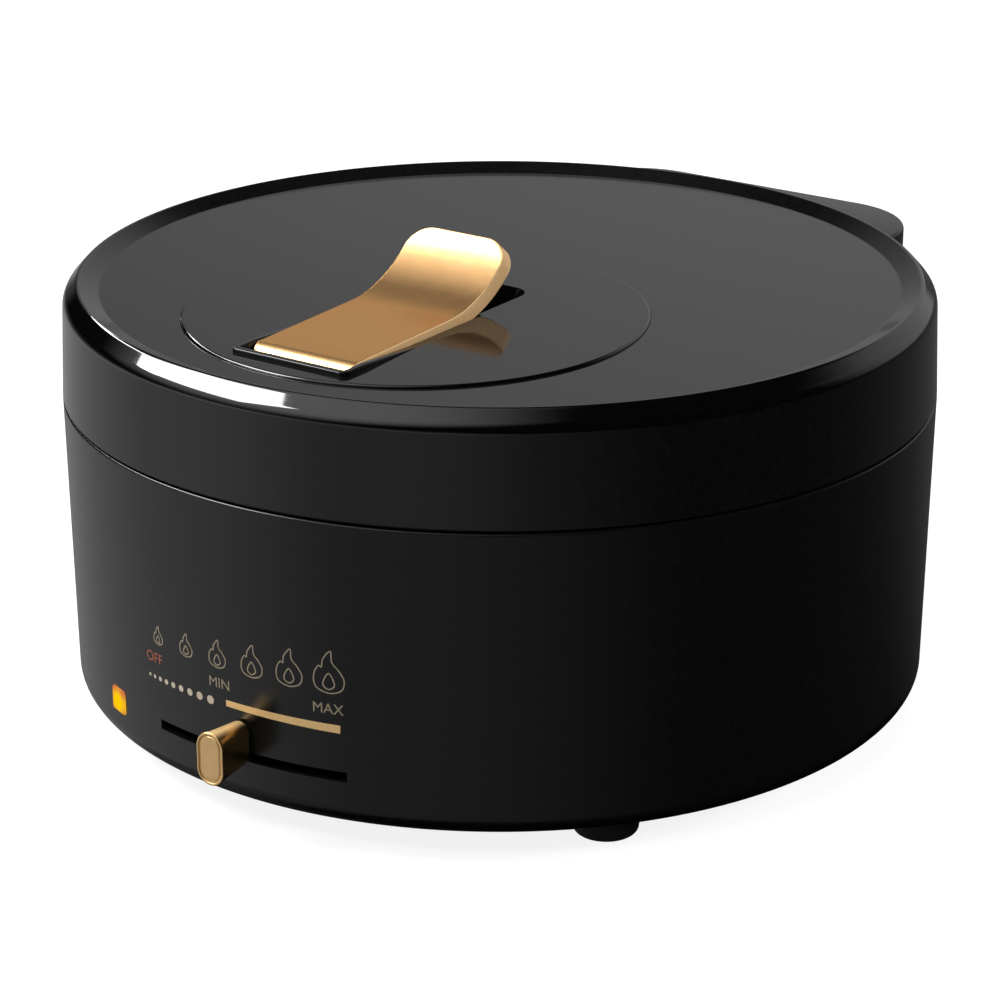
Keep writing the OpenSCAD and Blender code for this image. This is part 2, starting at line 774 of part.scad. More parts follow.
// Solid of the base's outside, grown by a gap, to fit pieces against the wall
module base_outside(gap) {
    rotate_extrude($fn = 180) polygon([
        [0, round_z], [wall_r(round_z) + gap, round_z], [wall_r(rim_z) + gap, rim_z], [0, rim_z]
    ]);
}

// Hinge block screwed to the rear of the base, with a round barrel for the pin
arm_drop = 5;
arm_len = 22;

module hinge_block() {
    arm_top = hinge_z + barrel_r - arm_drop;
    arm_foot = hinge_z - barrel_r - arm_len;
    wall_y = body_r - through;
    color("#141414") difference() {
        union() {
            translate([0, hinge_y, hinge_z]) rod_x(barrel_r, 2 * block_half_w);
            across(2 * block_half_w) polygon([
                [wall_y, arm_top], [hinge_y, arm_top], [hinge_y, hinge_z - barrel_r], [wall_y, arm_foot]
            ]);
        }
        base_outside(push_gap);
        translate([0, hinge_y, hinge_z]) rod_x(hinge_pin_r + run_gap / 2, 2 * block_half_w + 2 * eps);
        for (x = [-1, 1], z = hinge_screw_zs)
            translate([x * hinge_screw_x, body_r + hinge_screw_in + eps, z])
            rod_front(hinge_screw[0] + run_gap, 2 * through);
    }
}

// Screws from inside the base that hold the hinge block
module hinge_screws() {
    color("silver") for (x = [-1, 1], z = hinge_screw_zs) {
        seat_y = sqrt(pow(wall_r(z) - wall, 2) - pow(hinge_screw_x + hinge_screw[1], 2)) - lap;
        translate([x * hinge_screw_x, seat_y, z]) rotate([-90, 0, 0])
            screw_up(hinge_screw, body_r + hinge_screw_in - eps - seat_y);
    }
}

// Steel pin through the hinge block and both cheeks of the lid
pin_sunk = 1.5;

module hinge_pin() {
    color("silver") translate([0, hinge_y, hinge_z]) rod_x(hinge_pin_r, 2 * (cheek_out - pin_sunk));
}

// Heat lever

// Spindle that turns in the thermostat
spindle_head_h = 2;
spindle_head_w = 2;

module thermostat_spindle() {
    color("#c9a445") {
        translate([0, 0, hub_z - run_gap]) cylinder(r = spindle_r, h = spindle_top - hub_z);
        translate([0, 0, hub_z - spindle_head_h])
            cylinder(r = spindle_r + spindle_head_w, h = spindle_head_h);
    }
}

// Steel arm from the spindle to the slot
stem_inset = 14;
stem_back = body_r - base_draft - wall - stem_inset;
stem_in_knob = 6;
knob_root = wall_r(lever_z) + knob_gap;
stem_end = knob_root + stem_in_knob;
hub_wall = 6;
strip_t = 2;

module lever_arm() {
    color("#9a9a98") rotate([0, 0, lever_angle]) difference() {
        union() {
            translate([0, 0, hub_z]) cylinder(r = spindle_r + hub_wall, h = hub_h);
            translate([-lever_w / 2, -stem_back - strip_t / 2, lever_z - strip_t / 2])
                cube([lever_w, stem_back - spindle_r, strip_t]);
            translate([-stem_w / 2, -stem_end, lever_z - lever_t / 2])
                cube([stem_w, stem_end - stem_back, lever_t]);
        }
        translate([0, 0, hub_z - eps]) cylinder(r = spindle_r + run_gap / 2, h = hub_h + 2 * eps);
    }
}

// Knob with flat sides and round ends: a slim body and a wider face, sunk inside a narrow rim
knob_rim_w = 1.3;
knob_sink = 0.6;
knob_face_t = 3;
knob_waist = 1.4;
stem_gap = 0.3;

module slider_knob() {
    face_w = knob_w - 2 * knob_rim_w;
    face_h = knob_h - 2 * knob_rim_w;
    body_w = knob_w - 2 * knob_waist;
    body_h = knob_h - 2 * knob_waist;
    knob_z = lever_z + knob_rise;
    color("#c8965a") at_angle(knob_root, lever_angle) translate([0, 0, knob_z]) rotate([90, 0, 0])
    difference() {
        union() {
            linear_extrude(height = knob_len - knob_face_t / 2) round_rect(body_w, body_h, body_w / 2 - hair);
            translate([0, 0, knob_len - knob_face_t]) linear_extrude(height = knob_face_t)
                round_rect(knob_w, knob_h, knob_w / 2 - hair);
        }
        translate([0, 0, knob_len - knob_sink]) linear_extrude(height = knob_sink + eps)
            round_rect(face_w, face_h, face_w / 2 - hair);
        translate([0, -knob_rise, -eps]) linear_extrude(height = stem_in_knob + stem_gap + eps)
            square([stem_w + 2 * run_gap, lever_t + 2 * run_gap], center = true);
    }
}

// Lid

panel_hole_r = panel_r - panel_ledge;
panel_seat_z = panel_z - panel_t;
post_inset = 4.6;
post_circle = panel_hole_r - post_inset;
post_angles = [45, 135, 225, 315];
post_r = 6;
post_neck_r = 4;
post_shoulder = 12;
lid_boss_r = 6.5;
lid_boss_h = 6;
head_recess_r = 3;
head_recess_h = 2.2;
post_top = panel_seat_z - lid_boss_h;
plate_gap = 0.7;
plate_lip_z = pan_rim_z + plate_gap;
plate_face = plate_lip_z + plate_lip;
plate_back = plate_face + plate_t;
plate_ledge_w = 6;
plate_ledge_t = 2.5;
plate_ledge_slope = 3;
inner_round = 4;

// Puts children at each screw post under the panel
module at_posts() {
    translate([0, panel_y, 0]) for (a = post_angles)
        rotate([0, 0, a]) translate([post_circle, 0, 0]) children();
}

// Half section of the lid's wall, chamfered rim and dished top
module lid_section() {
    inner_r = body_r - wall;
    shoulder_in = shoulder_r - wall;
    ledge_r = plate_r - plate_ledge_w;
    polygon(concat(
        [
            [0, top_z], [0, top_z - lid_top_t], [dish_r, top_z - lid_top_t],
            [shoulder_in - inner_round, shoulder_z + inner_round / 2],
            [shoulder_in, shoulder_z - inner_round / 2],
            [inner_r, lid_z], [body_r - lip_chamfer, lid_z], [body_r, lid_z + lip_chamfer]
        ],
        oval([shoulder_r - rim_round, shoulder_z], rim_round, rim_round, 0, chamfer_angle, 6),
        [[crest_r, crest_z], [dish_r, top_z]]
    ));
    polygon([
        [ledge_r, plate_back], [inner_r + lap, plate_back],
        [inner_r + lap, plate_back + plate_ledge_t + plate_ledge_slope],
        [ledge_r, plate_back + plate_ledge_t]
    ]);
}

// Plan of the hinge housing behind the lid, less an inset
module ear_plan(inset) {
    half_w = ear_half_w - inset;
    reach = ear_reach - inset;
    r = ear_round - inset;
    translate([-half_w, 0]) square([2 * half_w, reach - r]);
    translate([-half_w + r, 0]) square([2 * (half_w - r), reach]);
    for (x = [-1, 1]) translate([x * (half_w - r), reach - r]) circle(r);
}

// Hollow hinge housing with two cheeks, cut to the lid's round wall
module hinge_housing() {
    ear_h = ear_z - ear_under;
    difference() {
        union() {
            translate([0, 0, ear_under]) linear_extrude(height = ear_h) ear_plan(0);
            for (x = [-1, 1]) translate([x * cheek_mid, 0, 0]) across(cheek_w) {
                translate([hinge_y, hinge_z]) circle(barrel_r);
                translate([hinge_y - barrel_r, hinge_z])
                    square([2 * barrel_r, ear_under - hinge_z + ear_wall]);
            }
        }
        translate([0, 0, hinge_z - 2 * barrel_r])
            cylinder(r = (body_r + shoulder_r - wall) / 2, h = ear_z, $fn = 180);
        translate([0, 0, ear_under + ear_wall])
            linear_extrude(height = ear_h - 2 * ear_wall) ear_plan(ear_wall);
    }
}

// Moulded lid with its hinge housing, panel seat and the way for the leads into the housing
module lid_shell() {
    lead_way_w = 2 * (ear_half_w - ear_round);
    color("#141414") difference() {
        union() {
            rotate_extrude($fn = 180) lid_section();
            hinge_housing();
            at_posts() translate([0, 0, post_top]) cylinder(r = lid_boss_r, h = lid_boss_h);
        }
        translate([0, panel_y, panel_seat_z]) cylinder(r = panel_r + push_gap, h = 2 * panel_t, $fn = 180);
        difference() {
            translate([0, panel_y, panel_seat_z - 2 * lid_top_t])
                cylinder(r = panel_hole_r, h = 3 * lid_top_t, $fn = 180);
            at_posts() translate([0, 0, post_top - eps]) cylinder(r = lid_boss_r, h = lid_boss_h + eps);
        }
        at_posts() {
            translate([0, 0, post_top - eps])
                cylinder(r = small_screw[0] + screw_gap, h = lid_boss_h + 2 * eps);
            translate([0, 0, panel_seat_z - head_recess_h])
                cylinder(r = head_recess_r, h = head_recess_h + eps);
        }
        for (x = [-1, 1]) translate([x * cheek_mid, hinge_y, hinge_z])
            rod_x(hinge_pin_r + run_gap, cheek_w + 2 * eps);
        translate([-lead_way_w / 2, body_r - through, ear_under + ear_wall])
            cube([lead_way_w, through + wall, shoulder_z - inner_round - ear_under - ear_wall]);
    }
}

// Plan of the finger well, grown by a wall
well_lap = 2;
well_front = bend_y + well_lap;

module well_plan(grow) {
    translate([0, (well_back + well_front) / 2])
        round_rect(2 * (well_half_w + grow), well_back - well_front + 2 * grow, well_round + grow);
}

// Round panel with the handle's bezel and seat, held in the lid by four hooks
panel_bevel = 0.5;
hook_w = 10;
hook_h = 6;
hook_t = 1.8;
hook_gap = 0.4;
hook_catch = [4, 1, 2.4];
nose_pocket_r = nose_r + seat_gap;
front_pocket = 1.2;
tray_z = seat_floor - tray_t;

module lid_panel() {
    bezel_top = panel_z + bezel_proud;
    bezel_root = panel_z - panel_proud;
    rail_y = pin_y + rail_len;
    block_top = panel_z - panel_bevel;
    block_z = pin_z - nose_pocket_r - tray_t;
    nose_wall = nose_pocket_r + tray_t;
    open_h = well_depth;
    color("#101010") difference() {
        union() {
            translate([0, panel_y, 0]) rotate_extrude($fn = 180) polygon([
                [0, panel_seat_z], [panel_r, panel_seat_z], [panel_r, panel_z - panel_bevel],
                [panel_r - panel_bevel, panel_z], [0, panel_z]
            ]);
            across(2 * bezel_out) polygon([
                [pin_y - nose_wall, block_z], [pin_y + nose_wall, block_z], [pin_y + nose_wall, tray_z],
                [seat_back + tray_t, tray_z], [seat_back + tray_t, block_top],
                [pin_y - nose_wall, block_top]
            ]);
            across(2 * bezel_out) polygon([
                [bezel_front, bezel_root], [bezel_front, bezel_top], [pin_y, bezel_top],
                [rail_y, panel_z], [rail_y, bezel_root]
            ]);
            for (a = [0:90:270]) translate([0, panel_y, panel_seat_z - hook_h]) rotate([0, 0, a])
                translate([panel_hole_r - hook_gap - hook_t, -hook_w / 2, 0]) {
                    cube([hook_t, hook_w, hook_h + panel_t / 2]);
                    translate([0, 0, hook_catch[1]]) cube([hook_catch[0], hook_w, hook_catch[2]]);
                }
        }
        translate([-bezel_in, pin_y, seat_floor]) cube([2 * bezel_in, seat_back - pin_y, open_h]);
        translate([0, pin_y, pin_z]) rod_x(nose_pocket_r, 2 * bezel_in);
        translate([-bezel_in, bezel_inner_front, panel_z - front_pocket])
            cube([2 * bezel_in, pin_y - bezel_inner_front + eps, open_h]);
        translate([0, 0, tray_z - eps]) linear_extrude(height = open_h) well_plan(0);
        translate([0, pin_y, pin_z]) rod_x(handle_pin_r + run_gap / 2, 2 * bezel_out + 2 * eps);
    }
}

// Cup under the panel that makes the finger well, fitted round the handle's seat
module finger_well() {
    floor_z = panel_z - well_depth;
    block_w = 2 * (bezel_out + push_gap);
    color("#101010") difference() {
        translate([0, 0, floor_z - tray_t])
            linear_extrude(height = panel_seat_z - floor_z + tray_t - run_gap) well_plan(tray_t);
        translate([0, 0, floor_z]) linear_extrude(height = well_depth) well_plan(0);
        translate([-block_w / 2, pin_y, tray_z - run_gap])
            cube([block_w, seat_back + tray_t + push_gap - pin_y, well_depth]);
    }
}

// Screws under the panel that pull the hot plate up against the lid
plate_screw_len = 12;

module plate_screws() {
    color("silver") at_posts() translate([0, 0, panel_seat_z - head_recess_h]) mirror([0, 0, 1])
        screw_up(small_screw, plate_screw_len);
}

// Cast hot plate with a lip and four posts
plate_edge = 1;
plate_lip_w = 5;
plate_lip_slope = 2;

module upper_plate() {
    root_z = plate_face + boss_root;
    lip_r = plate_r - plate_edge - plate_lip_w;
    color("#4a4a4a") difference() {
        union() {
            rotate_extrude($fn = 180) polygon([
                [0, plate_face], [lip_r - plate_lip_slope, plate_face], [lip_r, plate_lip_z],
                [plate_r - plate_edge, plate_lip_z], [plate_r, plate_lip_z + plate_edge],
                [plate_r, plate_back], [0, plate_back]
            ]);
            at_posts() translate([0, 0, root_z]) {
                cylinder(r = post_r, h = plate_back + post_shoulder - root_z);
                cylinder(r = post_neck_r, h = post_top - root_z);
            }
        }
        at_posts() translate([0, 0, post_top - plate_screw_len])
            cylinder(r = small_screw[0] + run_gap, h = plate_screw_len + eps);
    }
}

// Heater on the back of the hot plate
module upper_heater() color("#8a8a86") heater_ring(plate_back + heater_r + run_gap, true);

// Thin shield between the upper heater and the lid's top, seated on the posts
upper_shield_inset = 16;

module upper_shield() {
    seat_z = plate_back + post_shoulder;
    color("#c8c8c4") difference() {
        translate([0, 0, seat_z]) cylinder(r = plate_r - upper_shield_inset, h = shield_t, $fn = 120);
        at_posts() translate([0, 0, seat_z - eps])
            cylinder(r = post_neck_r + push_gap, h = shield_t + 2 * eps);
        at_heater_ends() translate([0, 0, seat_z - eps]) cylinder(r = heater_r, h = shield_t + 2 * eps);
    }
}

// Snap-disc limiter on the back of the hot plate
limiter_inset = 35;
limiter_y = heater_ring_r - limiter_inset;
limiter_r = 8.5;
limiter_h = 6;
limiter_cap_r = 6.5;
limiter_cap_h = 9;
limiter_tab = [6, 6, 0.8];

module lid_limiter() {
    color("#2c2c2c") translate([0, limiter_y, plate_back]) {
        cylinder(r = limiter_r, h = limiter_h);
        cylinder(r = limiter_cap_r, h = limiter_cap_h);
        for (x = [-1, 1])
            translate([x * limiter_cap_r - limiter_tab[0] / 2, -limiter_tab[1] / 2, limiter_h])
                cube(limiter_tab);
    }
}

// Handle

// Steel pin through the handle's nose and both rails of the bezel
module handle_pin() {
    color("silver") translate([0, pin_y, pin_z]) rod_x(handle_pin_r, 2 * (bezel_out - run_gap));
}

// Side view of the handle, with its pin at the origin
module handle_section() {
    reach = 2 * bend_out;
    circle(nose_r);
    translate([0, nose_r - handle_t]) square([handle_flat + tip_swell, handle_t]);
    translate([handle_flat, bend_up]) intersection() {
        difference() {
            translate([tip_swell, 0]) circle(bend_out);
            circle(bend_r);
        }
        polygon([
            [0, 0], [0, -reach], [reach * sin(bend_angle / 2), -reach * cos(bend_angle / 2)],
            [reach * sin(bend_angle), -reach * cos(bend_angle)]
        ]);
    }
}

// Bent tongue that lies in the bezel and lifts about its nose
module handle() {
    mid_r = bend_r + handle_t / 2;
    deep = 10 * handle_t;
    color("#c8965a") translate([0, pin_y, pin_z]) rotate([handle_pitch, 0, 0]) difference() {
        across(handle_w) handle_section();
        rod_x(handle_pin_r + run_gap, handle_w + 2 * eps);
        translate([0, handle_flat + mid_r * sin(bend_angle), bend_up - mid_r * cos(bend_angle)])
            rotate([bend_angle, 0, 0]) for (side = [0, 1]) mirror([side, 0, 0])
                translate([handle_w / 2 - tip_round, -tip_round, -deep / 2]) difference() {
                    cube([tip_round + eps, tip_round + eps, deep]);
                    translate([0, 0, -eps]) cylinder(r = tip_round, h = deep + 2 * eps);
                }
    }
}

base_shell();
bottom_cover();
cover_screws();
foot(foot_angles[0]);  // foot_front_left
foot(foot_angles[1]);  // foot_front_right
foot(foot_angles[2]);  // foot_rear_left
foot(foot_angles[3]);  // foot_rear_right
cooking_pan();
pan_screws();
pan_heater();
heat_shield();
shield_screws();
thermostat_body();
thermal_fuse();
base_wiring();
lamp_lens();
lamp_holder();
lamp_bulb();
power_inlet();
inlet_pins();
hinge_block();
hinge_screws();
hinge_pin();
thermostat_spindle();
lever_arm();
slider_knob();
lid_shell();
lid_panel();
finger_well();
plate_screws();
upper_plate();
upper_heater();
upper_shield();
lid_limiter();
handle_pin();
handle();
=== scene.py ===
import math

import bmesh
import bpy
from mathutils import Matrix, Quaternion, Vector


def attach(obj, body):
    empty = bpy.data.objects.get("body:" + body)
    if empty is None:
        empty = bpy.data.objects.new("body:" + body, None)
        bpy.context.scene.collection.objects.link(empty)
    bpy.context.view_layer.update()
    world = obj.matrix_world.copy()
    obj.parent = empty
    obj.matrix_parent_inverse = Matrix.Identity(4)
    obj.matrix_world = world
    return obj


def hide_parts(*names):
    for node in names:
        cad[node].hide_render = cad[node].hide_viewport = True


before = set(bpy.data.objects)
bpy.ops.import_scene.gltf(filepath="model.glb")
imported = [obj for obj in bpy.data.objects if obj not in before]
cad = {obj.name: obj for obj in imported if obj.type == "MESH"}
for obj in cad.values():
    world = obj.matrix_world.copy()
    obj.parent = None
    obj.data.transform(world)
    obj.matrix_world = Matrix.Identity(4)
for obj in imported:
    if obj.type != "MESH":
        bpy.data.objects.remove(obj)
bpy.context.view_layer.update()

# Base shell: the round black wall that carries everything, moulded in heat-proof plastic.
# Its bottom edge is rolled under, its rim has a small lip, and the lever slot, the lamp's
# window and the inlet's window are moulded openings.
mm = 0.001
body_r = 165.0
base_z = 9.0
roll_z = 20.0
roll_w = 16.2
roll_h = 11.0
rim_z = 126.0
draft = 2.1
wall_t = 2.6
floor_t = 4.0
rim_edge = 0.9
rim_lean, rim_drop = 0.02, 1.2
ledge_in = 156.0
ledge_z = 122.5
ledge_t = 3.0
ledge_slope = 4.0
base_open_r = 111.0
lever_z = 31.0
slot_h = 3.8
slot_half_angle = 14.7
slot_steps = 20
slot_in, slot_out = 152.0, 172.0
lever_angle = 1.2
lamp_angle = -23.9
lamp_z = 30.0
lamp_w = 10.0
lamp_h = 9.6
lamp_corner = 1.1
window_in, window_out = 140.0, 175.0
inlet_z = 33.0
inlet_flange_w = 38.0
inlet_flange_h = 28.0
inlet_gap = 0.3
inlet_in, inlet_out = 140.0, 180.0


def wall_r(z):
    return body_r - draft * (rim_z - z) / (rim_z - roll_z)


def rounded(corners, steps=6):
    """Closed outline through corners given as (x, y, radius)."""
    out = []
    for i, (x, y, r) in enumerate(corners):
        p = Vector((x, y))
        if r <= 0:
            out.append((x, y))
            continue
        u = (Vector(corners[i - 1][:2]) - p).normalized()
        v = (Vector(corners[(i + 1) % len(corners)][:2]) - p).normalized()
        half = u.angle(v) / 2
        c = p + (u + v).normalized() * (r / math.sin(half))
        a = p + u * (r / math.tan(half)) - c
        b = p + v * (r / math.tan(half)) - c
        start = math.atan2(a.y, a.x)
        sweep = (math.atan2(b.y, b.x) - start + math.pi) % (2 * math.pi) - math.pi
        for k in range(steps + 1):
            t = start + sweep * k / steps
            out.append((c.x + r * math.cos(t), c.y + r * math.sin(t)))
    return out


def oval(cx, cz, rx, rz, start, end, steps):
    turn = [math.radians(start + (end - start) * k / steps) for k in range(steps + 1)]
    return [(cx + rx * math.cos(t), cz + rz * math.sin(t)) for t in turn]


def held(outline, hold=0.2, longest=2.0):
    """The outline with points close to both ends of each long straight, which keep it flat."""
    out = []
    for i, (x, z) in enumerate(outline):
        nx, nz = outline[(i + 1) % len(outline)]
        out.append((x, z))
        length = math.hypot(nx - x, nz - z)
        if length > longest:
            for d in (hold, length - hold):
                out.append((x + (nx - x) * d / length, z + (nz - z) * d / length))
    return out


def settle(obj, crease=32):
    for face in obj.data.polygons:
        face.use_smooth = True
    obj.data.set_sharp_from_angle(angle=math.radians(crease))
    return obj


def solid(name, bm, crease=32):
    bmesh.ops.recalc_face_normals(bm, faces=bm.faces[:])
    mesh = bpy.data.meshes.new(name)
    bm.to_mesh(mesh)
    bm.free()
    obj = bpy.data.objects.new(name, mesh)
    bpy.context.scene.collection.objects.link(obj)
    return settle(obj, crease)


def spun(name, outline, centre=(0.0, 0.0), steps=288, crease=32):
    """Solid turned from a closed half outline of (radius, height)."""
    bm = bmesh.new()
    rings = []
    for r, z in outline:
        count = 1 if r < 1e-6 else steps
        rings.append([bm.verts.new((
            (centre[0] + r * math.sin(2 * math.pi * i / steps)) * mm,
            (centre[1] - r * math.cos(2 * math.pi * i / steps)) * mm, z * mm)) for i in range(count)])
    for a, b in zip(rings, rings[1:] + rings[:1]):
        if len(a) == 1 and len(b) == 1:
            continue
        for i in range(steps):
            j = (i + 1) % steps
            corners = [a[i % len(a)], a[j % len(a)], b[j % len(b)], b[i % len(b)]]
            bm.faces.new(list(dict.fromkeys(corners)))
    return solid(name, bm, crease)


def lofted(name, rings, crease=32):
    """Closed solid through rings of points in millimetres, with flat ends."""
    bm = bmesh.new()
    loops = [[bm.verts.new(Vector(p) * mm) for p in ring] for ring in rings]
    for a, b in zip(loops, loops[1:]):
        for i in range(len(a)):
            j = (i + 1) % len(a)
            bm.faces.new((a[i], a[j], b[j], b[i]))
    bm.faces.new(loops[0])
    bm.faces.new(loops[-1][::-1])
    return solid(name, bm, crease)


def carved(obj, *tools, crease=32, join=False):
    """The object less the tool solids, or joined with them, which are used up."""
    for tool in tools:
        step = obj.modifiers.new("carve", "BOOLEAN")
        step.operation = "UNION" if join else "DIFFERENCE"
        step.solver = "EXACT"
        step.object = tool
        bpy.context.view_layer.update()
        graph = bpy.context.evaluated_depsgraph_get()
        mesh = bpy.data.meshes.new_from_object(obj.evaluated_get(graph))
        obj.modifiers.remove(step)
        obj.data = mesh
        bpy.data.objects.remove(tool)
    return settle(obj, crease)


def plate_outline(w, h, r, steps=5):
    return rounded([(-w / 2, -h / 2, r), (w / 2, -h / 2, r), (w / 2, h / 2, r), (-w / 2, h / 2, r)], steps)


def on_wall(angle, r, across, z):
    """Point on the body, at an angle from the front, moved sideways along the wall's flat."""
    a = math.radians(angle)
    return (r * math.sin(a) + across * math.cos(a), -r * math.cos(a) + across * math.sin(a), z)


def grained(name, dark, light, rough, grain, relief, metallic=0.0, gloss=0.5, stretch=(1, 1, 1)):
    """Material whose colour, sheen and surface drift over a noise of the given grain in mm."""
    mat = bpy.data.materials.new(name)
    mat.use_nodes = True
    nodes = mat.node_tree.nodes
    link = mat.node_tree.links.new
    shader = nodes["Principled BSDF"]
    place = nodes.new("ShaderNodeTexCoord")
    size = nodes.new("ShaderNodeMapping")
    size.inputs["Scale"].default_value = [s / (grain * mm) for s in stretch]
    noise = nodes.new("ShaderNodeTexNoise")
    noise.inputs["Scale"].default_value = 1.0
    noise.inputs["Detail"].default_value = 3.0
    tone = nodes.new("ShaderNodeValToRGB")
    tone.color_ramp.elements[0].position = 0.3
    tone.color_ramp.elements[1].position = 0.7
    tone.color_ramp.elements[0].color = (*dark, 1)
    tone.color_ramp.elements[1].color = (*light, 1)
    sheen = nodes.new("ShaderNodeMapRange")
    sheen.inputs["From Min"].default_value = 0.3
    sheen.inputs["From Max"].default_value = 0.7
    sheen.inputs["To Min"].default_value = rough[0]
    sheen.inputs["To Max"].default_value = rough[1]
    bump = nodes.new("ShaderNodeBump")
    bump.inputs["Strength"].default_value = relief
    bump.inputs["Distance"].default_value = 0.1 * mm
    link(place.outputs["Object"], size.inputs["Vector"])
    link(size.outputs["Vector"], noise.inputs["Vector"])
    link(noise.outputs["Fac"], tone.inputs["Fac"])
    link(noise.outputs["Fac"], sheen.inputs["Value"])
    link(noise.outputs["Fac"], bump.inputs["Height"])
    link(tone.outputs["Color"], shader.inputs["Base Color"])
    link(sheen.outputs["Result"], shader.inputs["Roughness"])
    link(bump.outputs["Normal"], shader.inputs["Normal"])
    shader.inputs["Metallic"].default_value = metallic
    shader.inputs["Specular IOR Level"].default_value = gloss
    return mat


def dress(obj, mat):
    obj.data.materials.clear()
    obj.data.materials.append(mat)
    return obj


satin_black = grained("satin_black", (0.0028, 0.0028, 0.003), (0.0042, 0.0042, 0.0045), (0.2, 0.27), 1.5, 0.03)
roll_r = body_r - draft - roll_w
inner_r = body_r - wall_t
base_outline = (
    [(base_open_r, base_z)]
    + oval(roll_r, roll_z, roll_w, roll_h, -90, 0, 18)
    + [(body_r - rim_lean, rim_z - rim_drop)]
    + oval(body_r - rim_edge, rim_z - rim_edge, rim_edge, rim_edge, 0, 90, 6)
    + [(inner_r, rim_z), (inner_r, ledge_z), (ledge_in, ledge_z), (ledge_in, ledge_z - ledge_t)]
    + [(inner_r, ledge_z - ledge_t - ledge_slope)]
    + oval(roll_r, roll_z, roll_w - wall_t, roll_h - floor_t, 0, -90, 10)
    + [(base_open_r, base_z + floor_t)]
)
slot_section = [(slot_in, -slot_h / 2), (slot_out, -slot_h / 2), (slot_out, slot_h / 2), (slot_in, slot_h / 2)]
slot_rings = []
for k in range(-slot_steps, slot_steps + 1):
    angle = lever_angle + k / slot_steps * slot_half_angle
    slot_rings.append([on_wall(angle, r, 0, lever_z + z) for r, z in slot_section])
lamp_window = plate_outline(lamp_w, lamp_h, lamp_corner)
lamp_tool = [[on_wall(lamp_angle, r, x, lamp_z + z) for x, z in lamp_window] for r in (window_in, window_out)]
inlet_window = plate_outline(inlet_flange_w + inlet_gap, inlet_flange_h + inlet_gap, inlet_gap, 2)
inlet_tool = [[on_wall(180, r, x, inlet_z + z) for x, z in inlet_window] for r in (inlet_in, inlet_out)]
base = carved(
    spun("base_wall", held(base_outline)),
    lofted("slot_tool", slot_rings), lofted("lamp_tool", lamp_tool), lofted("inlet_tool", inlet_tool))
dress(base, satin_black)
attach(base, "base")
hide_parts("base_shell")

# Printed scale: gold ink screen-printed on the front of the wall above the lever, with a row
# of dots that grow into a bar, flames that grow with the heat, and three plain words.
ink_lift = 0.06
dot_count = 9
dot_edges = 28
dots_z = 49.0
dots_start = -15.3
dot_first, dot_last = 1.3, 3.3
bar_steps = 28
bar_start, bar_sweep = -1.2, 16.4
bar_z, bar_fall = 49.75, 0.55
bar_half, bar_swell = 1.2, 0.35
flame_count = 6
flames_start, flames_sweep = -13.2, 27.0
flames_z = 62.5
flame_first, flame_last = 7.0, 16.0
flame_line = 0.5
words_z = 56.4
word_size = 5.6
print_gold = grained("print_gold", (0.63, 0.41, 0.17), (0.71, 0.47, 0.21), (0.38, 0.5), 0.8, 0.05, metallic=0.1)
print_pale = grained("print_pale", (0.24, 0.20, 0.14), (0.36, 0.30, 0.21), (0.4, 0.55), 0.8, 0.05, metallic=0.2)
print_silver = grained("print_silver", (0.46, 0.39, 0.30), (0.55, 0.48, 0.38), (0.4, 0.5), 0.8, 0.05, metallic=0.1)
print_red = grained("print_red", (0.30, 0.09, 0.045), (0.40, 0.12, 0.06), (0.4, 0.5), 0.8, 0.05, metallic=0.15)


def inked(x, z):
    """Point of the print: x runs along the wall in mm from the front, z is the height."""
    r = wall_r(z) + ink_lift
    return Vector((r * math.sin(x / body_r), -r * math.cos(x / body_r), z)) * mm


def along(angle):
    return math.radians(angle) * body_r


def curve_through(points, steps=6):
    """Closed smooth curve through points."""
    out = []
    n = len(points)
    for i in range(n):
        p = [Vector(points[(i + k - 1) % n]) for k in range(4)]
        for s in range(steps):
            t = s / steps
            out.append(0.5 * (2 * p[1] + (p[2] - p[0]) * t + (2 * p[0] - 5 * p[1] + 4 * p[2] - p[3]) * t ** 2
                              + (3 * p[1] - p[0] - 3 * p[2] + p[3]) * t ** 3))
    return out


def ink_ribbon(bm, points, width):
    """Line of even width round a closed curve."""
    n = len(points)
    left, right = [], []
    for i in range(n):
        d = (points[(i + 1) % n] - points[i - 1]).normalized()
        side = Vector((-d.y, d.x)) * width / 2
        left.append(bm.verts.new(inked(*(points[i] + side))))
        right.append(bm.verts.new(inked(*(points[i] - side))))
    for i in range(n):
        j = (i + 1) % n
        bm.faces.new((left[i], left[j], right[j], right[i]))


ink = bmesh.new()
for k in range(dot_count):
    dot_r = (dot_first + (dot_last - dot_first) * k / (dot_count - 1)) / 2
    x = along(dots_start + k * (15 + k) / 16)
    ink.faces.new([ink.verts.new(inked(x + dot_r * math.cos(t), dots_z + dot_r * math.sin(t)))
                   for t in [2 * math.pi * i / dot_edges for i in range(dot_edges)]])
scale_dots = dress(solid("scale_dots", ink), print_silver)
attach(scale_dots, "base")

ink = bmesh.new()
bar = []
for k in range(bar_steps + 1):
    t = k / bar_steps
    x = along(bar_start + bar_sweep * t)
    z = bar_z - bar_fall * t
    half = bar_half + bar_swell * t
    bar.append((ink.verts.new(inked(x, z - half)), ink.verts.new(inked(x, z + half))))
for a, b in zip(bar, bar[1:]):
    ink.faces.new((a[0], b[0], b[1], a[1]))
scale_bar = dress(solid("scale_bar", ink), print_gold)
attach(scale_bar, "base")

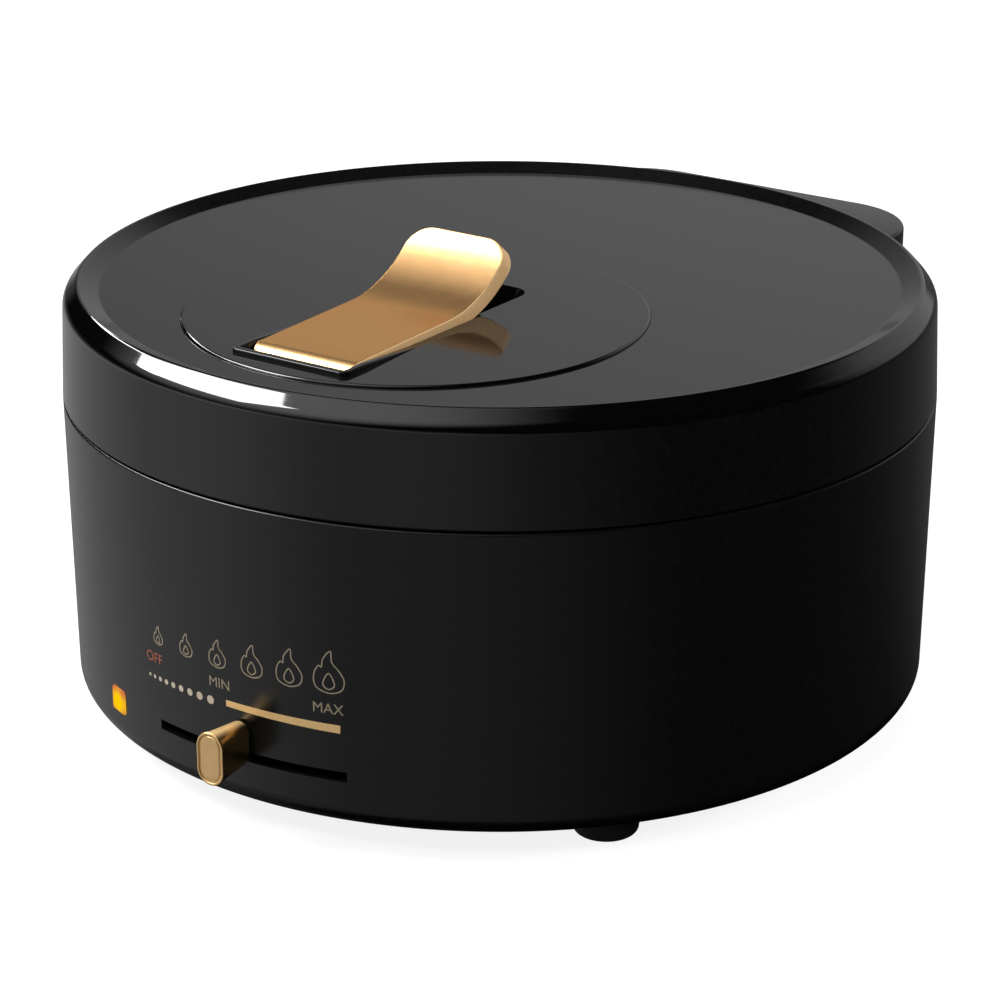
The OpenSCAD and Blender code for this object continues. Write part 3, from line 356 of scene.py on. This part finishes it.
flame = [(0.0, 0.0), (0.30, 0.10), (0.37, 0.34), (0.25, 0.56), (0.09, 0.74), (0.06, 1.0),
         (-0.12, 0.80), (-0.16, 0.60), (-0.24, 0.62), (-0.35, 0.40), (-0.31, 0.12)]
heart = [(0.0, 0.09), (0.13, 0.17), (0.12, 0.30), (0.01, 0.47), (-0.11, 0.31), (-0.13, 0.17)]
ink = bmesh.new()
for k in range(flame_count):
    t = k / (flame_count - 1)
    tall = flame_first + (flame_last - flame_first) * t
    x = along(flames_start + flames_sweep * t)
    for shape in (flame, heart):
        ink_ribbon(ink, curve_through([(x + px * tall, flames_z + pz * tall) for px, pz in shape]), flame_line)
flame_print = dress(solid("flame_print", ink), print_pale)
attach(flame_print, "base")

for word, angle, paint in (("OFF", -14.2, print_red), ("MIN", -2.2, print_pale), ("MAX", 13.6, print_pale)):
    letters = bpy.data.curves.new("print_" + word, "FONT")
    letters.body = word
    letters.size = word_size
    letters.align_x = "CENTER"
    letters.align_y = "CENTER"
    flat = bpy.data.objects.new("flat_word", letters)
    bpy.context.scene.collection.objects.link(flat)
    bpy.context.view_layer.update()
    mesh = bpy.data.meshes.new_from_object(flat.evaluated_get(bpy.context.evaluated_depsgraph_get()))
    bpy.data.objects.remove(flat)
    for v in mesh.vertices:
        v.co = inked(along(angle) + v.co.x, words_z + v.co.y)
    label = bpy.data.objects.new("print_" + word, mesh)
    bpy.context.scene.collection.objects.link(label)
    dress(label, paint)
    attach(label, "base")

# Underside: a vented plastic plate screwed into the base, and four rubber feet that snap
# through the base's bottom ring.
cover_black = grained("cover_black", (0.008, 0.008, 0.008), (0.015, 0.015, 0.015), (0.45, 0.6), 0.7, 0.12)
foot_rubber = grained("foot_rubber", (0.006, 0.006, 0.006), (0.013, 0.013, 0.013), (0.6, 0.8), 0.5, 0.2,
                      gloss=0.3)
screw_steel = grained("screw_steel", (0.36, 0.36, 0.35), (0.5, 0.5, 0.49), (0.25, 0.4), 0.4, 0.1, metallic=1.0)
dress(cad["bottom_cover"], cover_black)
for node in ("foot_front_left", "foot_front_right", "foot_rear_left", "foot_rear_right"):
    dress(cad[node], foot_rubber)
for node in ("cover_screws", "pan_screws", "shield_screws", "hinge_screws", "plate_screws",
             "hinge_pin", "handle_pin"):
    dress(cad[node], screw_steel)

# Cooking pan and the hot plate in the lid: cast aluminium with a dark non-stick coat that
# carries fine pale flecks. Screws from below hold the pan, and posts hold the plate.
nonstick = grained("nonstick", (0.016, 0.016, 0.017), (0.03, 0.03, 0.031), (0.3, 0.42), 2.0, 0.05)
nodes = nonstick.node_tree.nodes
link = nonstick.node_tree.links.new
flecks = nodes.new("ShaderNodeTexVoronoi")
flecks.inputs["Scale"].default_value = 420.0
fleck_size = nodes.new("ShaderNodeMapRange")
fleck_size.inputs["From Min"].default_value = 0.13
fleck_size.inputs["From Max"].default_value = 0.09
fleck_mix = nodes.new("ShaderNodeMix")
fleck_mix.data_type = "RGBA"
fleck_mix.inputs["B"].default_value = (0.16, 0.16, 0.155, 1)
ground = nodes["Principled BSDF"].inputs["Base Color"].links[0].from_socket
link(nodes["Texture Coordinate"].outputs["Object"], flecks.inputs["Vector"])
link(flecks.outputs["Distance"], fleck_size.inputs["Value"])
link(fleck_size.outputs["Result"], fleck_mix.inputs["Factor"])
link(ground, fleck_mix.inputs["A"])
link(fleck_mix.outputs["Result"], nodes["Principled BSDF"].inputs["Base Color"])
for node in ("cooking_pan", "upper_plate"):
    dress(cad[node], nonstick)

# Heaters and shields: bent steel tube elements under the pan and on the hot plate, and thin
# pressed sheets that keep their heat off the plastic.
heater_steel = grained("heater_steel", (0.16, 0.155, 0.145), (0.27, 0.26, 0.245), (0.4, 0.55), 1.2, 0.1,
                       metallic=0.9)
shield_sheet = grained("shield_sheet", (0.5, 0.5, 0.49), (0.62, 0.62, 0.61), (0.25, 0.4), 2.0, 0.06, metallic=1.0,
                       stretch=(1, 0.1, 1))
for node in ("pan_heater", "upper_heater"):
    dress(cad[node], heater_steel)
for node in ("heat_shield", "upper_shield"):
    dress(cad[node], shield_sheet)

# Thermostat, fuse, limiter and leads: a ceramic body on the pan, a sleeved fuse under its
# strap, a snap-disc limiter on the hot plate, and silicone-sleeved leads to the inlet.
ceramic = grained("ceramic", (0.55, 0.51, 0.44), (0.66, 0.62, 0.55), (0.5, 0.65), 0.6, 0.1)
fuse_sleeve = grained("fuse_sleeve", (0.5, 0.47, 0.38), (0.6, 0.57, 0.48), (0.55, 0.7), 0.5, 0.15)
limiter_black = grained("limiter_black", (0.012, 0.012, 0.012), (0.02, 0.02, 0.02), (0.35, 0.5), 0.5, 0.1)
lead_red = grained("lead_red", (0.22, 0.03, 0.02), (0.32, 0.05, 0.03), (0.45, 0.6), 0.6, 0.1)
dress(cad["thermostat_body"], ceramic)
dress(cad["thermal_fuse"], fuse_sleeve)
dress(cad["lid_limiter"], limiter_black)
dress(cad["base_wiring"], lead_red)

# Power inlet: a black moulded socket in the rear of the base, with three flat brass contacts
# that the lead's plug pushes over.
inlet_black = grained("inlet_black", (0.006, 0.006, 0.006), (0.011, 0.011, 0.011), (0.35, 0.48), 0.6, 0.1)
brass = grained("brass", (0.42, 0.29, 0.09), (0.55, 0.39, 0.14), (0.22, 0.34), 0.6, 0.06, metallic=1.0)
dress(cad["power_inlet"], inlet_black)
dress(cad["inlet_pins"], brass)

# Lamp: an amber lens pushed into its window from inside, lit by a small neon lamp in a white
# holder behind it.
lens_gap = 0.3
lens_corner = 0.4
lens_w = lamp_w - lens_gap
lens_h = lamp_h - lens_gap
lens_rings = []
for proud, inset in ((-5.4, 0.0), (0.1, 0.0), (0.4, 0.1), (0.65, 0.35), (0.75, 0.75), (0.79, 1.6)):
    shape = plate_outline(lens_w - 2 * inset, lens_h - 2 * inset, max(lens_corner, lamp_corner - inset))
    lens_rings.append([on_wall(lamp_angle, wall_r(lamp_z) + proud, x, lamp_z + z) for x, z in shape])
lens = lofted("amber_lens", lens_rings, crease=60)
amber = grained("amber", (0.04, 0.006, 0.0), (0.07, 0.012, 0.0), (0.12, 0.2), 1.5, 0.03, gloss=0.0)
nodes = amber.node_tree.nodes
link = amber.node_tree.links.new
glow_place = nodes.new("ShaderNodeMapping")
glow_place.inputs["Location"].default_value = [-0.57, -0.5, -0.44]
glow = nodes.new("ShaderNodeTexGradient")
glow.gradient_type = "SPHERICAL"
glow_tone = nodes.new("ShaderNodeValToRGB")
glow_tone.color_ramp.elements[0].position = 0.3
glow_tone.color_ramp.elements[0].color = (0.56, 0.17, 0.06, 1)
glow_tone.color_ramp.elements[1].position = 0.55
glow_tone.color_ramp.elements[1].color = (1.0, 0.60, 0.002, 1)
link(nodes["Texture Coordinate"].outputs["Generated"], glow_place.inputs["Vector"])
link(glow_place.outputs["Vector"], glow.inputs["Vector"])
link(glow.outputs["Color"], glow_tone.inputs["Fac"])
link(glow_tone.outputs["Color"], nodes["Principled BSDF"].inputs["Emission Color"])
nodes["Principled BSDF"].inputs["Emission Strength"].default_value = 1.0
dress(lens, amber)
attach(lens, "base")
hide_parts("lamp_lens")
holder_white = grained("holder_white", (0.62, 0.62, 0.58), (0.72, 0.72, 0.68), (0.45, 0.6), 0.6, 0.08)
bulb_glass = grained("bulb_glass", (0.8, 0.30, 0.07), (0.95, 0.42, 0.12), (0.06, 0.12), 1.0, 0.02)
dress(cad["lamp_holder"], holder_white)
dress(cad["lamp_bulb"], bulb_glass)

# Heat lever: a steel arm that turns on the thermostat's brass spindle and comes out through
# the slot, with a gold metal knob pushed on its end. The knob widens toward its face, which
# has a grooved rim. Its flanks are full metal and its top and face half-metal, so the top reads
# lighter under the lamps above: painted light. The face is also a darker copy of the gold:
# painted shade.
knob_gap = 1.4
knob_rise = 5.7
knob_w = 11.7
knob_h = 20.2
knob_face = 16.9
knob_root = wall_r(lever_z) + knob_gap
knob_z = lever_z + knob_rise
arm_steel = grained("arm_steel", (0.26, 0.26, 0.255), (0.36, 0.36, 0.35), (0.3, 0.45), 1.0, 0.06, metallic=1.0)
gold_knob_painted_light = grained("gold_knob_painted_light", (0.92, 0.60, 0.27), (0.98, 0.65, 0.30), (0.28, 0.33), 4.0, 0.01)
# Darker, half-metal copy of the knob's gold for its face: painted shade.
gold_face_painted_shade = grained("gold_face_painted_shade", (0.59, 0.385, 0.17), (0.65, 0.43, 0.195), (0.28, 0.33), 4.0, 0.01,
                    metallic=0.4)
# Metallic follows the facing: full metal on the flanks, half-metal on the top and face, so the top reads lighter:
# painted light.
nodes = gold_knob_painted_light.node_tree.nodes
link = gold_knob_painted_light.node_tree.links.new
facing = nodes.new("ShaderNodeNewGeometry")
split = nodes.new("ShaderNodeSeparateXYZ")
sideways = nodes.new("ShaderNodeMath")
sideways.operation = "ABSOLUTE"
painted_light_by_facing = nodes.new("ShaderNodeMapRange")
painted_light_by_facing.inputs["From Min"].default_value = 0.25
painted_light_by_facing.inputs["From Max"].default_value = 0.65
painted_light_by_facing.inputs["To Min"].default_value = 0.4
painted_light_by_facing.inputs["To Max"].default_value = 1.0
link(facing.outputs["Normal"], split.inputs["Vector"])
link(split.outputs["X"], sideways.inputs[0])
link(sideways.outputs["Value"], painted_light_by_facing.inputs["Value"])
link(painted_light_by_facing.outputs["Result"], nodes["Principled BSDF"].inputs["Metallic"])
knob_rings = []
for out, inset in (
        (0.0, 2.15), (0.12, 1.92), (0.4, 1.8), (16.1, 0.42), (16.3, 0.12), (16.5, 0.0), (16.95, 0.0),
        (17.25, 0.06), (17.48, 0.2), (17.6, 0.42), (17.6, 0.72), (17.5, 0.9), (17.3, 1.02), (17.05, 1.1),
        (17.0, 1.3), (17.02, 1.5), (17.2, 1.62), (17.35, 1.8), (17.4, 2.15), (17.4, 2.8)):
    shape = plate_outline(knob_w - 2 * inset, knob_h - 2 * inset, knob_w / 2 - inset - 0.02, 16)
    knob_rings.append([on_wall(lever_angle, knob_root + out, x, knob_z + z) for x, z in shape])
knob = dress(lofted("gold_lever_knob", knob_rings, crease=50), gold_knob_painted_light)
knob.data.materials.append(gold_face_painted_shade)
# The face takes the darker half-metal copy of the gold: painted shade.
for face in knob.data.polygons:
    if -face.center.y > (knob_root + knob_face) * mm and -face.normal.y > 0.8:
        face.material_index = 1
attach(knob, "lever")
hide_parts("slider_knob")
dress(cad["lever_arm"], arm_steel)
dress(cad["thermostat_spindle"], brass)

# Hinge block: a moulded black barrel and arm screwed to the rear of the base, which the
# lid's two cheeks straddle.
dress(cad["hinge_block"], satin_black)

# Lid: a deep glossy black moulding with a chamfered rim and a dished flat top. A shallow
# round seat in its top takes the handle's panel, and its rear carries the hinge housing.
lid_z = 126.8
lid_draft = 1.2
lid_edge = 0.6
lid_top_t = 3.0
shoulder_z = 160.62
rim_round = 6.15
chamfer_angle = 42.3
crest_r = 158.16
crest_z = 169.2
crest_round = 1.6
dish_r = 150.1
dish_round = 1.5
top_z = 165.7
panel_r = 85.6
panel_y = -53.5
panel_seat_z = 164.2
panel_ledge = 6.0
panel_gap = 0.15
under_lid, over_lid = 150.0, 180.0
gloss_black = grained("gloss_black", (0.0026, 0.0026, 0.0028), (0.004, 0.004, 0.0043), (0.09, 0.12), 2.5, 0.012)
rim_black = grained("rim_black", (0.001, 0.001, 0.0011), (0.0018, 0.0018, 0.002), (0.04, 0.06), 2.5, 0.006,
                    gloss=1.0)
shoulder_r = body_r - lid_draft
shoulder_in = shoulder_r - wall_t
shoulder = oval(shoulder_r - rim_round, shoulder_z, rim_round, rim_round, 0, chamfer_angle, 12)
crest = [(*shoulder[-1], 0), (crest_r, crest_z, crest_round), (dish_r, top_z, dish_round), (0, top_z, 0)]
lid_outline = (
    rounded([(inner_r, lid_z, 0), (body_r, lid_z, lid_edge), (shoulder_r, shoulder_z, 0)], 4)
    + shoulder[1:]
    + rounded(crest, 6)[1:]
    + [(0, top_z - lid_top_t), (dish_r - 1, top_z - lid_top_t)]
    + [(shoulder_in - 4, shoulder_z + 2), (shoulder_in, shoulder_z - 3)]
)
seat_tool = [(0, under_lid), (panel_r - panel_ledge, under_lid), (panel_r - panel_ledge, panel_seat_z),
             (panel_r + panel_gap, panel_seat_z), (panel_r + panel_gap, over_lid), (0, over_lid)]
lid = carved(spun("lid_dome", held(lid_outline), steps=360),
             spun("seat_tool", seat_tool, (0, panel_y), steps=240))
dress(lid, gloss_black)
lid.data.materials.append(rim_black)
for face in lid.data.polygons:
    out = math.hypot(face.center.x, face.center.y) / mm
    if out > crest_r - 1.1 and face.center.z > (shoulder_z + 0.3) * mm and face.normal.z > 0:
        face.material_index = 1
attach(lid, "lid")
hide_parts("lid_shell")

# Hinge housing: the hollow box moulded on the lid's rear, with two cheeks that hang down
# over the ends of the hinge pin.
ear_half_w = 79.0
ear_reach = 197.0
ear_round = 36.0
ear_under = 128.5
ear_z = 157.0
ear_low_edge = 1.5
ear_top_edge = 1.6
cheek_in = 35.5
cheek_out = 55.0
cheek_edge = 0.8
cheek_ease = 0.25
cheek_lap = 4.0
hinge_y = 182.0
hinge_z = 113.0
barrel_r = 13.0


def ear_ring(z, inset):
    lid_wall_r = (body_r + shoulder_r - wall_t) / 2
    w = ear_half_w - inset
    y = ear_reach - inset
    r = ear_round - inset
    front = [(x, math.sqrt(lid_wall_r ** 2 - x ** 2)) for x in [w - 2 * w * k / 24 for k in range(25)]]
    left = oval(-w + r, y - r, r, r, 180, 90, 18)
    right = oval(w - r, y - r, r, r, 90, 0, 18)
    return [(x, py, z) for x, py in front + left + right]


ear_levels = [(ear_under + ear_low_edge * (1 - math.cos(t)), ear_low_edge * (1 - math.sin(t)))
              for t in (0.0, 0.4, 0.8, 1.2, 1.57)]
ear_levels += [(ear_z - ear_top_edge * (1 - math.sin(t)), ear_top_edge * (1 - math.cos(t)))
               for t in (0.0, 0.32, 0.64, 0.96, 1.28, 1.57)]
ear = lofted("hinge_housing", [ear_ring(z, inset) for z, inset in ear_levels])
cheeks = []
for side in (-1, 1):
    rings = []
    for x, inset in (
            (cheek_in, cheek_edge), (cheek_in + cheek_ease, cheek_ease), (cheek_in + cheek_edge, 0.0),
            (cheek_out - cheek_edge, 0.0), (cheek_out - cheek_ease, cheek_ease), (cheek_out, cheek_edge)):
        r = barrel_r - inset
        shape = oval(hinge_y, hinge_z, r, r, 180, 360, 24)
        shape += [(hinge_y + r, ear_under + cheek_lap), (hinge_y - r, ear_under + cheek_lap)]
        rings.append([(side * x, y, z) for y, z in shape])
    cheeks.append(lofted("cheek", rings))
ear = carved(ear, *cheeks, join=True)
dress(ear, satin_black)
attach(ear, "lid")

# Handle panel: a glossy round disc let into the lid, moulded in one with the bezel that frames
# the handle's nose, the seat under the handle and the finger well behind it.
panel_z = 166.7
panel_edge = 0.9
panel_skin = 0.5
pin_y = -116.5
pin_z = 163.3
nose_r = 5.0
seat_gap = 0.3
bezel_in = 22.8
bezel_out = 25.6
bezel_front = -129.5
bezel_top = 168.4
bezel_step = 1.2
bezel_corner = 1.6
bezel_root = 0.8
bezel_edge = 0.6
rail_end = -88.5
rail_end_h = 0.05
seat_z = 162.6
seat_back = -43.9
well_half_w = 21.0
well_front = -63.2
well_back = -8.5
well_round = 8.0
well_depth = 16.0
well_slope = 4.5
well_end_share = 0.4
tray_t = 1.8
tool_top = 190.0
piano_black = grained("piano_black", (0.0022, 0.0022, 0.0024), (0.0034, 0.0034, 0.0037), (0.07, 0.1), 3.0, 0.008)


def block(name, x, y0, y1, z0, z1, r=0.3):
    shape = [(px, py + (y0 + y1) / 2) for px, py in plate_outline(2 * x, y1 - y0, r, 6)]
    return lofted(name, [[(px, py, z) for px, py in shape] for z in (z0, z1)])


def rod(name, r, half):
    return lofted(name, [[(x, y, z) for y, z in oval(pin_y, pin_z, r, r, 0, 354, 59)] for x in (-half, half)])


disc_corners = [(0, panel_seat_z, 0), (panel_r, panel_seat_z, 0), (panel_r, panel_z, panel_edge), (0, panel_z, 0)]
disc = spun("panel", held(rounded(disc_corners, 8)), (0, panel_y))
pocket_r = nose_r + seat_gap
nose_block = block("nose_block", bezel_out, pin_y - pocket_r - tray_t, pin_y + pocket_r + tray_t,
                   pin_z - pocket_r - tray_t, panel_z - panel_skin)
tray = block("tray", bezel_out, pin_y, seat_back + tray_t, seat_z - tray_t, panel_z - panel_skin)
cup = block("cup", well_half_w + tray_t, well_front - tray_t, well_back + tray_t,
            panel_z - well_depth - tray_t, panel_z - panel_skin, well_round + tray_t)
panel = carved(disc, nose_block, tray, cup, join=True)
well_rings = []
for z, inset in ((panel_z - well_depth, well_slope + 1), (panel_z - 1.1 * well_slope, well_slope),
                 (panel_z, 0), (tool_top, 0)):
    length = well_back - well_front - 2 * well_end_share * inset
    shape = plate_outline(2 * (well_half_w - inset), length, well_round - inset, 12)
    well_rings.append([(x, y + (well_front + well_back) / 2, z) for x, y in shape])
front_start = bezel_front + bezel_out - bezel_in
panel = carved(
    panel,
    block("seat_tool", bezel_in, pin_y, seat_back, seat_z, tool_top),
    rod("nose_tool", pocket_r, bezel_in),
    block("front_tool", bezel_in, front_start, pin_y + 1, panel_z - bezel_step, tool_top),
    lofted("well_tool", well_rings))
dress(panel, piano_black)
panel.data.materials.append(rim_black)
for face in panel.data.polygons:
    out = math.hypot(face.center.x, face.center.y - panel_y * mm) / mm
    if out > panel_r - 1 and 0.05 < face.normal.z < 0.99:
        face.material_index = 1
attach(panel, "lid")
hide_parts("lid_panel", "finger_well")

mid = (bezel_in + bezel_out) / 2
half_t = (bezel_out - bezel_in) / 2
front_mid = bezel_front + half_t
path = [(-mid, rail_end - (rail_end - pin_y) * k / 8) for k in range(9)]
path += oval(-mid + bezel_corner, front_mid + bezel_corner, bezel_corner, bezel_corner, 180, 270, 6)
path += [(-x, y) for x, y in path[::-1]]
bezel_rings = []
for i, (x, y) in enumerate(path):
    a, b = path[max(0, i - 1)], path[min(len(path) - 1, i + 1)]
    d = Vector((b[0] - a[0], b[1] - a[1])).normalized()
    side = Vector((d.y, -d.x))
    fall = max(0.0, y - pin_y) / (rail_end - pin_y)
    high = bezel_top - fall * (bezel_top - panel_z - rail_end_h)
    ease = min(bezel_edge, (high - panel_z) / 2 + 0.02)
    ring = ([(-half_t, panel_z - bezel_root)]
            + oval(-half_t + ease, high - ease, ease, ease, 180, 90, 6)
            + oval(half_t - ease, high - ease, ease, ease, 90, 0, 6)
            + [(half_t, panel_z - bezel_root)])
    bezel_rings.append([(x + side.x * w, y + side.y * w, z) for w, z in ring])
bezel = dress(lofted("handle_bezel", bezel_rings), piano_black)
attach(bezel, "lid")

# Handle: a gold metal tongue with a round nose that turns on a steel pin in the bezel. It
# lies nearly flat, then bends up so that a finger fits under its tip; its face is satin.
handle_t = 5.4
handle_flat = 52.7
handle_pitch = math.radians(1.4)
bend_r = 52.0
bend_angle = 50.5
handle_half_w = 22.0
tip_round = 10.5
tip_swell = 2.6
edge = 0.5
bend_steps = 28
flat_steps = 6
tip_steps = 22
bend_mid = bend_r + handle_t / 2


def handle_outline(back_off, inset):
    """Side outline of the handle, ended short of the tip by back_off and thinned by inset."""
    end = math.radians(bend_angle) * bend_mid - back_off
    tip_edge = min(edge, handle_t / 2 - inset - 0.05)

    def bent(s, r):
        t = s / bend_mid
        return (handle_flat + r * math.sin(t), nose_r + bend_r - r * math.cos(t))

    def under(s):
        t = s / bend_mid
        swelled = math.sqrt((bend_r + handle_t) ** 2 - (tip_swell * math.cos(t)) ** 2)
        return tip_swell * math.sin(t) + swelled - inset

    top_r = bend_r + inset
    low_start = bend_mid * math.atan(tip_swell / (bend_r + handle_t))
    low_len = end - tip_edge - low_start
    flat = [handle_flat * k / flat_steps for k in range(flat_steps)]
    turns = [math.pi / 2 * k / 5 for k in range(6)]
    out = [(y, nose_r - inset) for y in flat]
    out += [bent((end - tip_edge) * k / bend_steps, top_r) for k in range(bend_steps)]
    for t in turns:
        out.append(bent(end - tip_edge + tip_edge * math.sin(t), top_r + tip_edge * (1 - math.cos(t))))
    for t in turns[::-1]:
        s = end - tip_edge + tip_edge * math.sin(t)
        out.append(bent(s, under(s) - tip_edge * (1 - math.cos(t))))
    for k in reversed(range(bend_steps)):
        s = low_start + low_len * k / bend_steps
        out.append(bent(s, under(s)))
    r = nose_r - inset
    low_z = nose_r - handle_t + inset
    out += [(y, low_z) for y in flat[:0:-1]]
    out += oval(0, 0, r, r, math.degrees(math.asin(low_z / r)), -270, 30)[:-1]
    c, w = math.cos(handle_pitch), math.sin(handle_pitch)
    return [(pin_y + y * c - z * w, pin_z + y * w + z * c) for y, z in out]


gold_handle = grained("gold_handle", (0.94, 0.555, 0.242), (0.98, 0.585, 0.258), (0.24, 0.26), 4.0, 0.003,
                      metallic=0.92)
gold_handle.node_tree.nodes["Principled BSDF"].inputs["Specular Tint"].default_value = (0.93, 0.60, 0.41, 1)
# Rougher, half-metal copy of the gold for the handle's sides, which reads lighter than full metal: partly brushed
# grain, partly painted light.
gold_side_brushed_painted_light = grained("gold_side_brushed_painted_light", (0.85, 0.54, 0.26), (0.93, 0.60, 0.30), (0.36, 0.44), 1.2, 0.02, metallic=0.35)
stations = []
for k in range(tip_steps + 1):
    t = math.pi / 2 * (k / tip_steps)
    x = handle_half_w - tip_round + tip_round * math.sin(t)
    over = max(0.0, x - (handle_half_w - edge))
    stations.append((x, tip_round * (1 - math.cos(t)), edge - math.sqrt(max(0.0, edge ** 2 - over ** 2))))
handle_rings = [[(-x, y, z) for y, z in handle_outline(back, inset)] for x, back, inset in stations[::-1]]
handle_rings += [[(x, y, z) for y, z in handle_outline(back, inset)] for x, back, inset in stations]
handle = dress(lofted("gold_handle", handle_rings, crease=40), gold_handle)
handle.data.materials.append(gold_side_brushed_painted_light)
# The sides take the lighter half-metal copy: painted light over brushed grain.
for face in handle.data.polygons:
    if abs(face.normal.x) > 0.6:
        face.material_index = 1
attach(handle, "handle")
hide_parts("handle")

# Studio: a plain pale floor that whitens with distance, a white surround whose dim fields only
# the gloss shows, soft boxes round the part, and the camera at the photograph's place.
floor_half = 9.0
near_floor, far_floor = 1.4, 3.2
near_white, far_white = 0.86, 1.0
fill_level = 0.35
field_edge = 0.06
aim_z = 0.1
camera_place = (0.73065, -1.04348, 0.5534)
camera_tilt = 20.515
camera_turn = 35.0
camera_lens = 127.2
camera_sensor = 36.0
floor_mesh = bpy.data.meshes.new("floor")
floor_mesh.from_pydata([(-floor_half, -floor_half, 0), (floor_half, -floor_half, 0), (floor_half, floor_half, 0),
                        (-floor_half, floor_half, 0)], [], [(0, 1, 2, 3)])
floor = bpy.data.objects.new("floor", floor_mesh)
bpy.context.scene.collection.objects.link(floor)
paper = bpy.data.materials.new("white_paper")
paper.use_nodes = True
nodes = paper.node_tree.nodes
link = paper.node_tree.links.new
nodes.clear()
seen = nodes.new("ShaderNodeLightPath")
glow = nodes.new("ShaderNodeEmission")
glow.inputs["Color"].default_value = (1, 1, 1, 1)
matte = nodes.new("ShaderNodeBsdfDiffuse")
matte.inputs["Color"].default_value = (0.25, 0.25, 0.25, 1)
place = nodes.new("ShaderNodeTexCoord")
away = nodes.new("ShaderNodeVectorMath")
away.operation = "LENGTH"
fade = nodes.new("ShaderNodeMapRange")
fade.inputs["From Min"].default_value = near_floor
fade.inputs["From Max"].default_value = far_floor
fade.inputs["To Min"].default_value = near_white
fade.inputs["To Max"].default_value = far_white
level = nodes.new("ShaderNodeMath")
level.operation = "MULTIPLY"
both = nodes.new("ShaderNodeAddShader")
out = nodes.new("ShaderNodeOutputMaterial")
link(place.outputs["Object"], away.inputs[0])
link(away.outputs["Value"], fade.inputs["Value"])
link(seen.outputs["Is Camera Ray"], level.inputs[0])
link(fade.outputs["Result"], level.inputs[1])
link(level.outputs["Value"], glow.inputs["Strength"])
link(glow.outputs["Emission"], both.inputs[0])
link(matte.outputs["BSDF"], both.inputs[1])
link(both.outputs["Shader"], out.inputs["Surface"])
dress(floor, paper)
floor.visible_glossy = False


def heading(azimuth, elevation):
    a, e = math.radians(azimuth), math.radians(elevation)
    return Vector((math.cos(e) * math.sin(a), -math.cos(e) * math.cos(a), math.sin(e)))


world = bpy.data.worlds.new("surround")
bpy.context.scene.world = world
world.use_nodes = True
nodes = world.node_tree.nodes
link = world.node_tree.links.new
seen = nodes.new("ShaderNodeLightPath")
place = nodes.new("ShaderNodeTexCoord")
split = nodes.new("ShaderNodeSeparateXYZ")
link(place.outputs["Generated"], split.inputs["Vector"])
total = None
for azimuth, elevation, core, fade, strength, low, high, soft in (
        (184, 14, 8, 60, 0.445, 0.0, 0.56, 2 * field_edge),
        (-40, 50, 8, 54, 0.95, 0.0, 2.0, field_edge),
        (-83, -18, 30, 75, 0.30, -0.6, -0.12, field_edge),
        (-20, -18, 20, 100, 0.20, -0.85, -0.12, field_edge),
        (-12, -14, 15, 58, 0.14, -0.34, 0.0, field_edge),
        (215, -20, 10, 95, 0.09, -0.38, 0.0, field_edge)):
    toward = nodes.new("ShaderNodeVectorMath")
    toward.operation = "DOT_PRODUCT"
    toward.inputs[1].default_value = heading(azimuth, elevation)
    link(place.outputs["Generated"], toward.inputs[0])
    lit = None
    for source, start, full, top in (
            (toward.outputs["Value"], math.cos(math.radians(fade)), math.cos(math.radians(core)), strength),
            (split.outputs["Z"], low - field_edge, low + field_edge, 1.0),
            (split.outputs["Z"], high + soft, high - soft, 1.0)):
        step = nodes.new("ShaderNodeMapRange")
        step.interpolation_type = "SMOOTHSTEP"
        step.inputs["From Min"].default_value = start
        step.inputs["From Max"].default_value = full
        step.inputs["To Max"].default_value = top
        link(source, step.inputs["Value"])
        if lit is None:
            lit = step.outputs["Result"]
        else:
            both = nodes.new("ShaderNodeMath")
            both.operation = "MULTIPLY"
            link(lit, both.inputs[0])
            link(step.outputs["Result"], both.inputs[1])
            lit = both.outputs["Value"]
    if total is None:
        total = lit
    else:
        add = nodes.new("ShaderNodeMath")
        link(total, add.inputs[0])
        link(lit, add.inputs[1])
        total = add.outputs["Value"]
mirror = nodes.new("ShaderNodeMix")
mirror.inputs["A"].default_value = fill_level
link(seen.outputs["Is Glossy Ray"], mirror.inputs["Factor"])
link(total, mirror.inputs["B"])
open_sky = nodes.new("ShaderNodeMix")
open_sky.inputs["B"].default_value = 1.0
link(seen.outputs["Is Camera Ray"], open_sky.inputs["Factor"])
link(mirror.outputs["Result"], open_sky.inputs["A"])
link(open_sky.outputs["Result"], nodes["Background"].inputs["Strength"])
nodes["Background"].inputs["Color"].default_value = (1, 1, 1, 1)

for name, azimuth, elevation, roll, distance, wide, tall, watts in (
        ("left_box", -55, 40.6, 0, 1.7, 1.1, 0.64, 26.5),
        ("left_strip", -98, 30.8, 6, 1.7, 1.7, 0.12, 8.0),
        ("front_strip", 14, 44, 0, 1.9, 1.0, 0.16, 8.0),
        ("top_fill", -20, 78, 0, 2.0, 0.8, 0.8, 14.0),
        ("right_fill", 110, 25, 0, 1.6, 0.6, 0.4, 14.0),
        ("back_fill", 185, 60, 0, 2.2, 1.0, 0.7, 5.0)):
    lamp = bpy.data.lights.new(name, "AREA")
    lamp.shape = "RECTANGLE"
    lamp.size = wide
    lamp.size_y = tall
    lamp.energy = watts
    box = bpy.data.objects.new(name, lamp)
    box.location = Vector((0, 0, aim_z)) + heading(azimuth, elevation) * distance
    level = heading(azimuth, elevation).to_track_quat("Z", "Y")
    box.rotation_euler = (level @ Quaternion((0, 0, 1), math.radians(roll))).to_euler()
    box.visible_glossy = name.startswith("left")
    bpy.context.scene.collection.objects.link(box)

lens_data = bpy.data.cameras.new("camera")
lens_data.sensor_width = camera_sensor
lens_data.lens = camera_lens
camera = bpy.data.objects.new("camera", lens_data)
camera.location = camera_place
camera.rotation_euler = (math.radians(90 - camera_tilt), 0, math.radians(camera_turn))
bpy.context.scene.collection.objects.link(camera)
bpy.context.scene.camera = camera
bpy.context.scene.view_settings.view_transform = "Standard"
